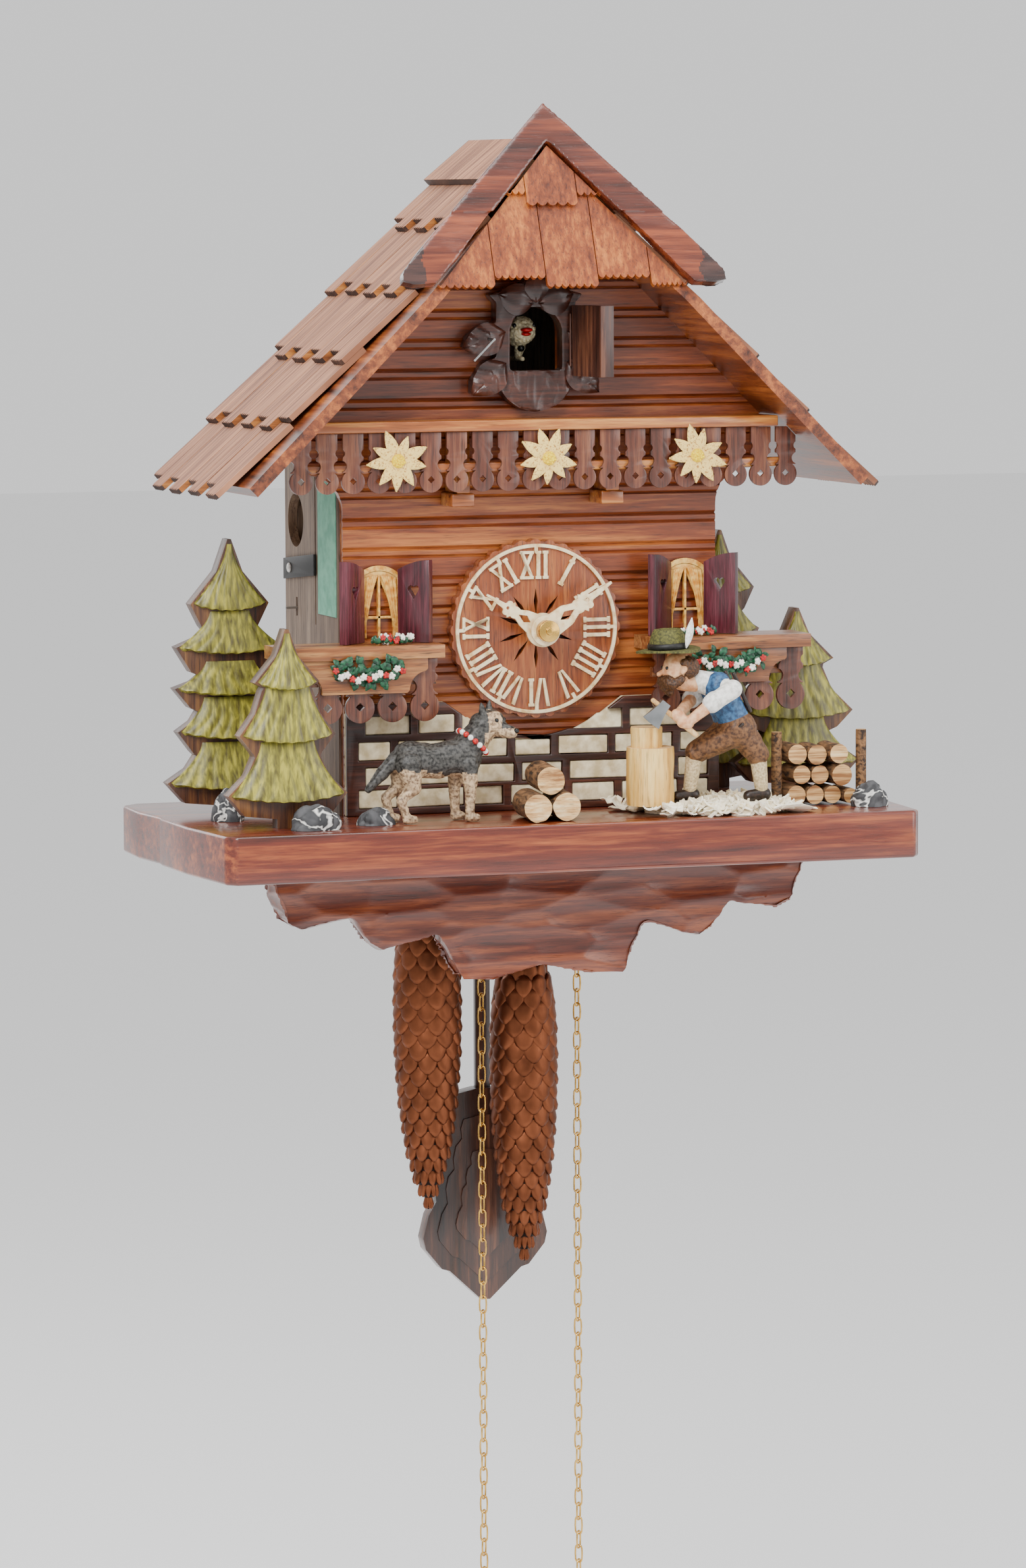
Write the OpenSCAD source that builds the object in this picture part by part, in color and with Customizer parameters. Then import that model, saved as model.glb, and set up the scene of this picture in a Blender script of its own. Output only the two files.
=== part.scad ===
// Chalet cuckoo clock with a woodchopper, one-day chain movement.
// Frame: X to the right, Y into the wall, Z up, millimetres.
// Origin: middle of the base plank's back face, on the wall plane y = 0.

/* [House] */
// Half width of the log front and of the side walls
house_half = 84; // [80:1:90]
// Distance from the wall to the log front
house_depth = 82; // [78:1:90]
// Height at which the two roof undersides meet
roof_apex = 279; // [270:1:290]
// Depth of the roof boards from the wall
roof_depth = 126; // [120:1:132]
// Thickness of the side and front boards
wall_t = 4; // [3:0.5:5]

/* [Base] */
// Thickness of the base plank
plank_t = 20; // [16:1:24]
// Depth of the base plank from the wall
plank_depth = 146; // [140:1:150]

/* [Dial] */
// Height of the dial centre above the origin
dial_z = 87; // [84:1:90]
// Radius of the dial over its scallops
dial_r = 37.8; // [34:0.2:40]
// Number of scallops round the dial
scallops = 36; // [24:1:48]
// Direction of the minute hand, degrees clockwise from twelve
minute_angle = 56; // [0:1:359]
// Direction of the hour hand, degrees clockwise from twelve
hour_angle = 302; // [0:1:359]

/* [Weights and chains] */
// Length of one chain link inside its bends
link_pitch = 6.3; // [5.4:0.1:6.6]
// Diameter of the chain wire
link_wire = 0.85; // [0.8:0.05:1.1]
// Links below the wheel on a chain's free side
free_links = 62; // [50:1:70]
// Length of a cone weight
cone_len = 135; // [120:1:140]
// Largest radius of a cone weight
cone_r = 15.8; // [13:0.1:16]

/* [Cuckoo] */
// Angle by which the cuckoo's door stands open
door_open = 100; // [60:1:110]
// Width of the doorway
doorway_w = 22.8; // [18:0.2:24]

/* [Hidden] */
$fn = 48;
deck = plank_t / 2;
front_y = -house_depth;
board_t = 5;             // roof board
shingle_t = 2.4;
course_step = 27.1;      // a course's rise, which is also its run at 45 degrees
dial_y = front_y - 6;
wheel_x = 21.8;          // chain wheel centres from the middle
wheel_z = 58;
chain_r = 12.27;         // radius at which the chain runs round its wheel
chain_y = -41;
pend_y = -12;
pivot_z = 126;           // anchor and pendulum axis
plate_front = -59;
plate_back = -25;
hinge_x = 14.8;          // cuckoo door's hinge
hinge_y = front_y - 9.2;
door_z = 193.2;
man_y = -125;
man_mid = 73;            // the figure's hips
shoulder = [70, 63];
slab_top = deck + 4.5;
link_w = 4.2;
link_len = link_pitch + 2 * link_wire + 0.35;
hanger_z = 232;
bellows_x = 70;

// ---- helpers ----

module slab(x, y, z) { // a block between pairs of limits
    translate([x[0], y[0], z[0]]) cube([x[1] - x[0], y[1] - y[0], z[1] - z[0]]);
}

module upright(y, t) { // stands a drawing in x and z on the plane y, t thick towards the wall
    translate([0, y + t, 0]) rotate([90, 0, 0]) linear_extrude(t) children();
}

module rod_y(x, z, y0, y1, r) {
    translate([x, y1, z]) rotate([90, 0, 0]) cylinder(r = r, h = y1 - y0);
}

function arc(c, r, a0, a1, n) =
    [for (i = [0:n]) let (a = a0 + (a1 - a0) * i / n) [c[0] + r * cos(a), c[1] + r * sin(a)]];

module mirrored() { children(); mirror([1, 0, 0]) children(); }

// ---- base ----

module plank_outline() {
    d = plank_depth;
    polygon([[-148, -d], [-60, 1 - d], [40, -d], [149, -d], [152, 4 - d], [155, -100],
        [157, -60], [155, -4], [151, 0], [-152, 0], [-159, -6], [-160, -34], [-157, -58],
        [-158, -64], [-157, -100], [-152, 4 - d]]);
}

module base_plank() color("sienna") difference() {
    translate([0, 0, -deck]) linear_extrude(plank_t) plank_outline();
    for (x = [-wheel_x - chain_r, -wheel_x + chain_r, wheel_x - chain_r, wheel_x + chain_r])
        slab([x - 4, x + 4], [chain_y - 6, chain_y + 6], [-deck - 1, deck + 1]);
    slab([-16, 16], [pend_y - 5, pend_y + 5], [-deck - 1, deck + 1]);
}

// half of the apron's stepped lower edge, from the middle outwards
apron_steps = [[0, -55], [10, -58.5], [22, -61], [36, -60.5], [41, -52], [46.5, -40],
    [71, -46.5], [77, -43], [84, -31.5], [106, -36.5], [113, -33], [122, -deck]];

module rock_apron() color("saddlebrown")
    upright(-97, 17) polygon(concat(apron_steps,
        [for (i = [len(apron_steps) - 1:-1:1]) [-apron_steps[i][0], apron_steps[i][1]]]));

// ---- house ----

siding = 12.4;           // height of one log board

module log_profile(top) { // section of the log boards, in y and z
    n = ceil((top - deck) / siding);
    polygon(concat([[front_y + wall_t, deck]],
        [for (i = [0:n - 1]) let (z = deck + i * siding) each [[front_y + 1.2, z],
            [front_y, z + 1], [front_y, z + 8.4], [front_y + 0.9, z + 9],
            [front_y, z + 9.8], [front_y, z + 11.6]]],
        [[front_y + 1.2, deck + n * siding], [front_y + wall_t, deck + n * siding]]));
}

module front_outline() {
    flare = 103;         // half width under the balcony
    w = house_half - 1;
    right = concat([[w, deck], [w, 138]], arc([w + 15, 138], 15, 180, 100, 8),
        [[flare, 153], [flare, roof_apex - flare]]);
    polygon(concat(right, [[0, roof_apex]],
        [for (i = [len(right) - 1:-1:0]) [-right[i][0], right[i][1]]]));
}

module doorway(w, z0, h) { // arched opening
    translate([-w / 2, z0]) square([w, h - w / 2]);
    translate([0, z0 + h - w / 2]) circle(r = w / 2);
}

module front_wall() color("peru") difference() {
    intersection() {
        translate([-110, 0, 0]) rotate([90, 0, 90]) linear_extrude(220) log_profile(roof_apex);
        upright(front_y - 1, wall_t + 2) front_outline();
    }
    rod_y(0, dial_z, front_y - 1, front_y + wall_t + 1, 5);
    upright(front_y - 1, wall_t + 2) doorway(doorway_w + 2, 195, 29);
}

module side_wall() {
    top = roof_apex - house_half - 0.4;
    difference() {
        slab([-house_half, -house_half + wall_t], [front_y + wall_t, 0], [deck, top]);
        translate([-house_half - 1, -16, 131]) rotate([0, 90, 0]) cylinder(r = 11.5, h = 6);
        slab([-house_half - 1, -house_half + wall_t + 1], [-18, -16], [90, 98]);
        slab([-house_half - 1, -house_half + wall_t + 1], [-46, -44.4], [88, 160]);
    }
}

module side_walls() color("rosybrown") mirrored() side_wall();

module back_panel() color("tan") difference() {
    slab([-house_half + wall_t + 0.3, house_half - wall_t - 0.3], [-5, -2], [deck + 1, 188]);
    for (z = [120, 128, 136]) slab([-20, 20], [-6, -1], [z, z + 3]);
}

module back_gable() color("tan") difference() {
    upright(-8, 6) polygon([[-79, 189], [79, 189], [79, 199.6], [0, roof_apex - 0.6], [-79, 199.6]]);
    rod_y(0, hanger_z, -9, 0, 8);
}

module wall_hanger() color("silver") difference() {
    slab([-18, 18], [-2, -0.5], [hanger_z - 12, hanger_z + 12]);
    rod_y(0, hanger_z, -3, 0, 4);
}

// ---- roof ----

// a flat piece on the right slope: s runs down the slope from the apex line, h above the board's underside
module on_slope(s0, s1, y, h0, h1) {
    translate([0, 0, roof_apex]) rotate([0, 45, 0]) slab([s0, s1], y, [h0, h1]);
}

slope_len = 187;

module roof_board() difference() {
    on_slope(-board_t, slope_len, [-roof_depth, 0], 0, board_t);
    slab([-20, 0], [-roof_depth - 1, 1], [roof_apex - 20, roof_apex + 20]);
    hip_cut();
}

module roof_board_right() color("sienna") roof_board();
module roof_board_left() color("sienna") mirror([1, 0, 0]) roof_board();

tab_w = 14;              // a shingle's long tab and the short part beside it
notch_d = 6;

module shingle(y0, w, len) { // flat shingle with a notch at its lower end
    linear_extrude(shingle_t) polygon([[0, y0], [len, y0], [len, y0 + min(w, tab_w)],
        [len - notch_d, y0 + min(w, tab_w)], [len - notch_d, y0 + w], [0, y0 + w]]);
}

module shingle_courses() {
    step = course_step * sqrt(2);
    lay = 44;            // shingle length, the rest of it under the course above
    tilt = 3.7;          // lies on the head of the course below
    for (c = [0:4])
        translate([0, 0, roof_apex]) rotate([0, 45, 0])
            translate([step * (c + 1) + 6 - lay * cos(tilt), 0, board_t + 0.2])
            rotate([0, -tilt, 0])
            for (k = [0:3]) shingle(-111 + k * 28, k == 3 ? 26.6 : 27.6, lay);
}

module roof_covering() difference() {
    union() {
        shingle_courses();
        upright(-98, 98) polygon([[0, roof_apex + 10.4], [18.4, roof_apex - 5.6],
            [20.6, roof_apex - 3.3], [0, roof_apex + 13.6]]); // ridge cap
    }
    hip_cut();
}

module roof_shingles_right() color("rosybrown") roof_covering();
module roof_shingles_left() color("rosybrown") mirror([1, 0, 0]) roof_covering();

// the half hip over the balcony leans back by hip_lean from the line hip_foot, given in y and z
hip_lean = 22.5;
hip_foot = [-124.6, 229.6];

module on_hip(lift, t) { // drawing in x and height along the hip, t thick towards the front
    translate([0, hip_foot[0], hip_foot[1]]) rotate([90 - hip_lean, 0, 0])
        translate([0, 0, lift]) linear_extrude(t) children();
}

module hip_cut() on_hip(-0.1, 80) translate([-90, -6]) square([180, 150]);

module barge_outline() {
    polygon([[0, 82], [71, 7], [72, 1.5], [66, -0.5], [56, 0.5], [0, 64]]);
}

module barge_boards() color("saddlebrown") mirrored() on_hip(0, 7) barge_outline();

module hip_field() polygon([[-54.8, 1], [54.8, 1], [54.8, 1.4], [0, 63.6], [-54.8, 1.4]]);

module gable_row(edges, feet, lift) for (i = [0:len(feet) - 1]) on_hip(lift, 2) intersection() {
    hip_field();
    translate([edges[i] + 0.2, feet[i]]) square([edges[i + 1] - edges[i] - 0.4, 80]);
}

module gable_shingles() color("chocolate") {
    gable_row([-54.8, -29.6, -7.2, 15.6, 38.6, 54.8], [1, 5, 1, 5, 1.4], 0);
    gable_row([-26, -12, 10.5, 26], [41.5, 36.5, 41], 2.05);
}

// ---- balcony ----

beam_z = 171.2;
balcony_y = -103;

module balcony_beam() color("saddlebrown") {
    slab([-103, 103], [balcony_y - 2, front_y - 0.05], [beam_z, beam_z + 4.6]);
    for (x = [-40, 26]) {
        slab([x, x + 10], [balcony_y + 5, front_y - 0.05], [139.5, 145]);
        slab([x + 2, x + 8], [balcony_y + 5, front_y - 0.05], [145.05, beam_z - 0.05]);
    }
    slab([-108, 108], [balcony_y + 1.7, balcony_y + 4.7], [154, 158]);
}

module slat(w, h) { // one fretwork slat w wide, hanging from z = 0, with a round foot and a diamond hole
    difference() {
        union() {
            translate([-w / 2, -h + w]) square([w, h - w]);
            translate([0, -h + w * 0.56]) circle(r = w * 0.56);
        }
        for (s = [-1, 1]) {
            translate([s * w * 0.58, -h + w * 1.3]) circle(r = w * 0.27);
            translate([s * w * 0.6, -h + w * 1.9]) circle(r = w * 0.2);
        }
        translate([0, -h + w * 0.6]) rotate(45) square(w * 0.25, center = true);
    }
}

slat_n = 20;
slat_step = 11.27;

module fretwork_slats() color("brown") {
    difference() {
        for (i = [0:slat_n - 1]) translate([(i - (slat_n - 1) / 2) * slat_step, 0, beam_z - 0.2])
            upright(balcony_y, 1.6) slat(8.9, 25);
        mirrored() on_slope(0, slope_len, [-roof_depth, 0], -0.3, board_t);
    }
    mirrored() for (i = [0:4]) translate([53.6 + i * 14.1, 0, 77.2])
        upright(-101.6, 2) slat(11.2, 26.6);
}

module edelweiss() {
    for (i = [0:9]) {
        r = (i % 2 == 0) ? 11.5 : 10.2;
        rotate(i * 36 + 8) polygon([[0, -2.6], [r * 0.55, -2.2], [r, 0], [r * 0.55, 2.2], [0, 2.6]]);
    }
    circle(r = 3.2);
}

module edelweiss_flowers() color("lemonchiffon") for (x = [-66, 0, 66])
    translate([x, 0, 159.5]) upright(balcony_y - 1.7, 1.6) edelweiss();

// ---- windows and ledges ----

win_x = 68.2;
win_w = 18.7;

module arch_frame(w, h, rise) { // rectangle with a shallow arched head
    r = (w * w / 4 + rise * rise) / (2 * rise);
    intersection() {
        translate([-w / 2, 0]) square([w, h]);
        translate([0, h - r]) circle(r = r, $fn = 96);
    }
}

module windows() color("goldenrod") for (s = [-1, 1]) translate([s * win_x, 0, 0]) {
    translate([0, 0, 83]) upright(front_y - 2.5, 2.4) difference() {
        arch_frame(win_w, 32, 4);
        translate([0, 0.8]) arch_frame(win_w - 1.6, 29, 3.6);
    }
    translate([0, 0, 83.6]) upright(front_y - 2.1, 1.4) difference() {
        arch_frame(win_w - 1.2, 29, 3.5);
        for (k = [0, 1]) {   // panes under the curtains and between them
            translate([k == 1 ? 0.4 : -6.2, 1]) square([5.8, 8]);
            mirror([k, 0]) polygon([[0.4, 10], [7.4, 10], [0.4, 26]]);
        }
    }
}

shutter_w = 14.4;

module shutter() { // leaf from its hinge edge outwards, taller at the outer edge
    difference() {
        polygon(concat([[0, 0], [shutter_w, 0], [shutter_w, 34.5]],
            [for (i = [1:5]) let (u = i / 5) [shutter_w * (1 - u), 34.5 - 4.2 * u * u]]));
        translate([shutter_w / 2, 22.4]) { // heart
            translate([-1.2, 0]) circle(r = 1.35, $fn = 24);
            translate([1.2, 0]) circle(r = 1.35, $fn = 24);
            polygon([[-2.4, -0.5], [2.4, -0.5], [0, -4.4]]);
        }
    }
}

module shutters() color("#5a2028") for (s = [-1, 1]) for (k = [-1, 1])
    translate([s * win_x + k * (win_w / 2 + 0.3), front_y - 3.2, 83.1])
        mirror([k == 1 ? 0 : 1, 0, 0]) rotate([0, 0, -42]) rotate([90, 0, 0]) linear_extrude(3.6) shutter();

module window_ledges() color("saddlebrown") mirrored() {
    slab([46, 117.5], [-106, front_y - 0.1], [77.4, 82.9]);
    upright(-104.4, 2.6) difference() {
        polygon([[53, 77.3], [107, 77.3], [107, 73], [99, 63], [62, 63], [53, 73]]);
        for (x = [53, 107]) translate([x, 64]) circle(r = 8);
    }
    slab([48, 115], [-99.5, -96.5], [66, 70]);
}

module flower_garlands() color("darkgreen") mirrored() upright(-108, 3.4)
    polygon([[63, 76.5], [97, 76.5], [96, 70], [92, 66], [84, 64.6], [74, 65.6], [66, 69]]);

// ---- masonry front under the dial ----

stone_top = 57;
arc_r = 45.5;

module stone_outline(r) difference() {
    polygon([[-83, deck + 0.2], [83, deck + 0.2], [83, 53], [78, stone_top], [40, stone_top],
        [30, 50], [-30, 50], [-40, stone_top], [-78, stone_top], [-83, 53]]);
    translate([0, dial_z]) circle(r = r, $fn = 96);
}

course_z = [13, 22.4, 33.2, 44];  // foot of each course of stones

module stone_gaps() { // the openings through which the stones show
    widths = [[17, 26, 14, 24, 19, 25, 20], [12, 22, 25, 18, 27, 15, 23],
        [14, 21, 24, 16, 22, 26, 18], [20, 16, 28, 40, 28, 16, 20]];
    for (r = [0:3]) for (i = [0:6]) {
        x = -78 + (r % 2) * 3 + [for (k = 0, a = 0; k <= i; a = a + widths[r][k] + 3.4, k = k + 1) a][i];
        if (x < 72) translate([x, course_z[r]]) square([min(widths[r][i], 78 - x), 8]);
    }
}

module stone_lattice() color("saddlebrown") upright(front_y - 4.5, 2.6)
    difference() { stone_outline(arc_r); stone_gaps(); }

module stone_panels() color("wheat") upright(front_y - 1.8, 1.6) stone_outline(arc_r + 1.5);

// ---- dial and hands ----

module dial() color("sienna") dial_in_place() upright(dial_y, 5.8) difference() {
    union() {
        circle(r = dial_r - 1, $fn = 96);
        for (i = [0:scallops - 1]) rotate(i * 360 / scallops)
            translate([dial_r - 2.6, 0]) circle(r = 2.6, $fn = 24);
    }
    circle(r = 3);
    for (i = [0:9]) rotate(i * 36) polygon([[0, 5.4], [0.9, 11.6], [0, 17], [-0.9, 11.6]]);
}

module dial_in_place() translate([0, 0, dial_z]) children();

bar = 1.5;               // stroke of a numeral

module stroke_i() {
    translate([-bar / 2, 21.5]) square([bar, 11]);
    for (z = [21, 31.6]) translate([-1.2, z]) square([2.4, 1.2]);
}

module stroke_v() for (s = [-1, 1])
    polygon([[s * 0.1, 21], [s * 1.2, 21], [s * 3.4, 32.8], [s * 1.9, 32.8]]);

module stroke_x() {
    for (s = [-1, 1]) polygon([[s * -3, 21.4], [s * -1.6, 21.4], [s * 3, 32.4], [s * 1.6, 32.4]]);
    for (z = [21, 31.6]) translate([-3, z]) square([6, 1.2]);
}

numerals = ["xii", "i", "ii", "iii", "iiii", "v", "vi", "vii", "viii", "ix", "x", "xi"];
function stroke_width(c) = c == "i" ? 3.2 : c == "v" ? 6.6 : 7;
function advance(s, i) = i == 0 ? 0 : advance(s, i - 1) + (stroke_width(s[i - 1]) + stroke_width(s[i])) / 2;

module numeral(s) {
    total = advance(s, len(s) - 1);
    for (i = [0:len(s) - 1]) translate([advance(s, i) - total / 2, 0]) {
        if (s[i] == "i") stroke_i();
        if (s[i] == "v") stroke_v();
        if (s[i] == "x") stroke_x();
    }
    translate([-0.7, 32]) square([1.4, 3]);
}

module dial_numerals() color("blanchedalmond") dial_in_place() upright(dial_y - 1.2, 1.15) {
    difference() { circle(r = 35.8, $fn = 96); circle(r = 34.4, $fn = 96); }
    for (h = [0:11]) rotate(-30 * h) numeral(numerals[h]);
}

module hand_blade(len, hub, bore) { // ornate hand, pointing up
    k = len / 35;
    difference() {
        union() {
            circle(r = hub);
            polygon([[-hub * 0.8, 0], [hub * 0.8, 0], [4.6 * k, 11 * k], [2.6 * k, 16 * k],
                [-2.6 * k, 16 * k], [-4.6 * k, 11 * k]]);
            translate([0, 10.5 * k]) circle(r = 4.6 * k);
            translate([0, 17.5 * k]) circle(r = 3.1 * k);
            for (s = [-1, 1]) {
                translate([s * 2.4 * k, 22 * k]) circle(r = 1.5 * k);
                polygon([[s * 1.5 * k, 18 * k], [s * 4.4 * k, 20 * k], [s * 1.5 * k, 22 * k]]);
            }
            translate([0, 22 * k]) circle(r = 2.6 * k);
            polygon([[-1.5 * k, 23 * k], [1.5 * k, 23 * k], [0.5 * k, 35 * k], [-0.5 * k, 35 * k]]);
        }
        circle(r = bore);
        translate([0, 22 * k]) circle(r = 0.9 * k);
        polygon([[0, 7.6 * k], [2 * k, 11 * k], [0, 15.4 * k], [-2 * k, 11 * k]]);
    }
}

module toothed(r, n, depth) { // wheel outline with n straight teeth
    polygon([for (i = [0:n - 1]) for (k = [0:3])
        let (a = (i + [0, 0.25, 0.5, 0.75][k]) * 360 / n, q = k < 2 ? r : r - depth)
        [q * cos(a), q * sin(a)]]);
}

module minute_hand() color("blanchedalmond") dial_in_place() {
    rotate([0, minute_angle, 0]) upright(-101.4, 1.2) hand_blade(35.3, 6.4, 1.6);
}

module centre_arbor() color("gold") dial_in_place() {
    rod_y(0, 0, -107, -21, 1.55);
    rod_y(0, 0, -106, -101.45, 4.5);
    upright(-50, 1.6) difference() {
        toothed(15.9, 64, 1);
        for (a = [0:72:288]) rotate(a) translate([9, 0]) circle(r = 3, $fn = 24);
    }
}

module hour_hand() color("blanchedalmond") dial_in_place() {
    rotate([0, hour_angle, 0]) upright(-97.6, 1.2) hand_blade(29.1, 7.2, 2.5);
    difference() {
        rod_y(0, 0, -99.6, -62, 2.45);
        rod_y(0, 0, -101, -60, 1.63);
    }
    difference() {
        rod_y(0, 0, -68, -66, 8);
        rod_y(0, 0, -69, -65, 2.5);
    }
}

// ---- cuckoo's doorway ----

module leaf(a, len) rotate(a) polygon([[0, -4], [len * 0.35, -6.4], [len * 0.8, -4], [len, 0],
    [len * 0.75, 4], [len * 0.3, 5.6], [0, 4]]);

module cuckoo_frame() color("#3a2418") upright(front_y - 8, 7.9) difference() {
    union() {
        polygon(concat([[-17.7, 196], [-17.7, 224], [-21, 227.5], [-8, 231], [0, 236.5], [8, 231],
            [21, 227.5], [17.7, 224], [17.7, 196]], arc([0, 196], 17.7, 0, -180, 24)));
        translate([-14, 212]) leaf(200, 19);
        translate([-14, 199]) leaf(222, 19);
        translate([14, 212]) leaf(-20, 19);
        translate([14, 199]) leaf(-42, 19);
    }
    doorway(doorway_w, 195.8, 26.2);
}

module cuckoo_door() color("#40281b")
    translate([hinge_x, hinge_y, 0]) rotate([0, 0, door_open]) {
        slab([-25.6, -0.9], [-6.4, -0.2], [door_z, door_z + 29.6]);
        translate([0, 0, door_z + 4]) cylinder(r = 0.45, h = 22);
        for (z = [door_z + 6, door_z + 23]) slab([-0.95, 0.2], [-0.7, -0.2], [z, z + 0.9]);
    }

latch = [-21.4, 209];
latch_y = hinge_y - 7.2;

module door_latch() color("silver") {
    rod_y(latch[0], latch[1], latch_y - 0.5, front_y - 8.05, 0.5);
    translate([latch[0], latch_y, latch[1]]) rotate([0, 225, 0])
        translate([-0.4, -0.4, 0]) cube([0.8, 0.8, 12.5]);
}

bird_y = -70;

module cuckoo_bird() color("beige") {
    translate([0, bird_y, 212]) sphere(r = 6.4);
    translate([0, bird_y + 10, 209.5]) rotate([90, 0, 0]) cylinder(r1 = 2.6, r2 = 5.8, h = 14);
    translate([0, bird_y - 5, 212]) rotate([90, 0, 0]) cylinder(r1 = 2.4, r2 = 1.6, h = 4);
    rod_y(0, 200, bird_y - 3, bird_y + 30, 1);
    translate([0, bird_y + 4, 200]) cylinder(r = 1.2, h = 8);
}

// ---- figures and scenery on the deck ----

// flat carved tree; tiers run from the foot up as [half width, height of the tips,
// half width of the neck above, height of the neck]
function flank(t) = [for (i = [0:len(t) - 1]) let (f = i == 0 ? 4 : t[i - 1][3]) each
    [[t[i][0] * 0.72, f + 1.5], [t[i][0], t[i][1]],
    [t[i][2] + (t[i][0] - t[i][2]) * 0.3, (t[i][1] + t[i][3]) / 2], [t[i][2], t[i][3]]]];

module spruce(tiers, trunk) {
    f = flank(tiers);
    polygon(concat([[trunk, 0], [trunk, 4]], f,
        [for (i = [len(f) - 1:-1:0]) [-f[i][0], f[i][1]]], [[-trunk, 4], [-trunk, 0]]));
}

large_tiers = [[27.7, 14, 15, 25.3], [23, 35.4, 14, 44], [24.2, 53.7, 13, 59], [23.4, 71, 11, 78],
    [17, 89, 0.8, 116]];
small_tiers = [[25.5, 14, 14, 29.8], [20.5, 38.5, 11, 56.7], [13.8, 60.3, 0.8, 82]];
side_tiers = [[20, 14, 12, 25.3], [19, 35.4, 12, 44], [19, 52, 11, 58], [18.5, 69.7, 10, 77],
    [16, 87.8, 0.8, 113]];
right_tiers = [[29, 14, 15, 26.8], [26, 35.5, 12, 54.4], [17, 58.3, 0.8, 80.5]];
spruce_t = 8;

module spruces() color("olive") for (p = [[-126, -56, large_tiers], [-119, -117, small_tiers],
    [129, -56, right_tiers], [106, -22, side_tiers]])
    translate([p[0], 0, deck + 0.05]) upright(p[1] - spruce_t / 2, spruce_t) spruce(p[2], 4.5);

module rock(x, y, l, w, h) { // low seven-sided boulder
    foot = [[-0.5, -0.1], [-0.34, 0.4], [0.06, 0.5], [0.42, 0.36], [0.5, -0.08], [0.24, -0.48],
        [-0.22, -0.5]];
    for (k = [0:2]) let (q = [1, 0.82, 0.55][k])
        translate([x, y, deck + 0.05 + h * k / 3]) linear_extrude(h / 3)
            polygon([for (p = foot) [p[0] * l * q, p[1] * w * q]]);
}

module rocks() color("slategray") {
    rock(-134, -83, 16, 14, 15);
    rock(-110, -130, 24, 13, 11.5);
    rock(-81, -120, 18, 12, 7.6);
    rock(138, -121.4, 18, 15, 11.4);
}

log_r = 6.2;
pile_posts = [101, 139.6];

// round logs of the pile as [x, height of the middle, radius]
pile = [[108.2, 4.6, 4.5], [117, 4.4, 4.3], [125.4, 4.2, 4.1], [133, 3.6, 3.5], [111, 13.2, 4.3],
    [119.6, 12.8, 4.3], [129, 12.6, 4.9], [109, 22, 4.6], [118.4, 21.4, 4.6], [127.6, 21.8, 4.4]];

module firewood() color("burlywood") {
    // three logs on the deck, beside the dog
    for (p = [[-16.5, log_r, 0], [-3.2, log_r, 2], [-9.2, log_r * 2.75, 5]])
        translate([p[0], -139 + p[2], deck + 0.05 + p[1]]) rotate([-90, 0, 8]) cylinder(r = log_r, h = 28);
    // the pile between its two posts
    for (p = pile) rod_y(p[0], deck + 0.1 + p[1], -113, -95, p[2] - 0.12);
    for (x = pile_posts) translate([x, -108, deck + 0.05]) cylinder(r = 2.4, h = 31.5);
}

module chopping_block() color("burlywood") translate([37.7, man_y, slab_top + 0.05]) {
    cylinder(r = 10.3, h = 24.3);
    translate([-1.6, 0, 24.3]) cylinder(r = 6.8, h = 8.5);
}

module wood_chips() color("cornsilk") {
    slab([27, 98], [-143, -90], [deck + 0.05, slab_top]);
    for (i = [0:17]) translate([31 + i * 3.7, -140.4 + 0.5 * sin(i * 137), slab_top + 0.05])
        rotate([0, 0, i * 67]) cube([3.4, 2, 2.2 + 1.4 * abs(sin(i * 71))]);
}

dog_y = -119;

module shepherd_dog() color("dimgray") {
    translate([-55, dog_y, 36.4]) rotate([0, 90, 0]) cylinder(r = 8.6, h = 34, center = true);
    for (x = [-68, -42]) for (y = [dog_y - 5, dog_y + 5])
        translate([x, y, deck + 0.05]) cylinder(r1 = 3, r2 = 3.6, h = 20);
    translate([-36, dog_y, 37]) rotate([0, 24, 0]) cylinder(r1 = 8, r2 = 6.4, h = 10);
    translate([-31, dog_y, 49]) sphere(r = 7.6);
    translate([-26, dog_y, 48]) rotate([0, 100, 0]) cylinder(r1 = 4.4, r2 = 2.8, h = 10);
    for (y = [dog_y - 4.4, dog_y + 4.4]) translate([-33, y, 52.6]) cylinder(r1 = 3, r2 = 0.6, h = 7);
    translate([-70, dog_y, 36]) rotate([0, -122, 0]) cylinder(r1 = 4.4, r2 = 2.6, h = 17);
}

module woodchopper() color("steelblue") {
    for (p = [[57, -121], [85, -129]])
        translate([p[0], p[1], slab_top + 0.05]) cylinder(r1 = 5, r2 = 6.2, h = 22);
    translate([man_mid, man_y, 36]) cylinder(r = 11, h = 11);
    translate([man_mid + 1, man_y, 44]) rotate([0, -22, 0]) cylinder(r1 = 8, r2 = 7.4, h = 23);
    translate([49.5, man_y, 69.5]) sphere(r = 8.5);
    translate([57, man_y, 64]) rotate([0, -50, 0]) cylinder(r = 5.2, h = 8, center = true);
    translate([45.7, man_y, 78.2]) cylinder(r = 13.8, h = 2);
    translate([46, man_y, 76]) cylinder(r1 = 8.2, r2 = 6.6, h = 12.5);
}

arm_y = 12.4;            // half the distance between the arms
axe_y = man_y - 9.8;

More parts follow.
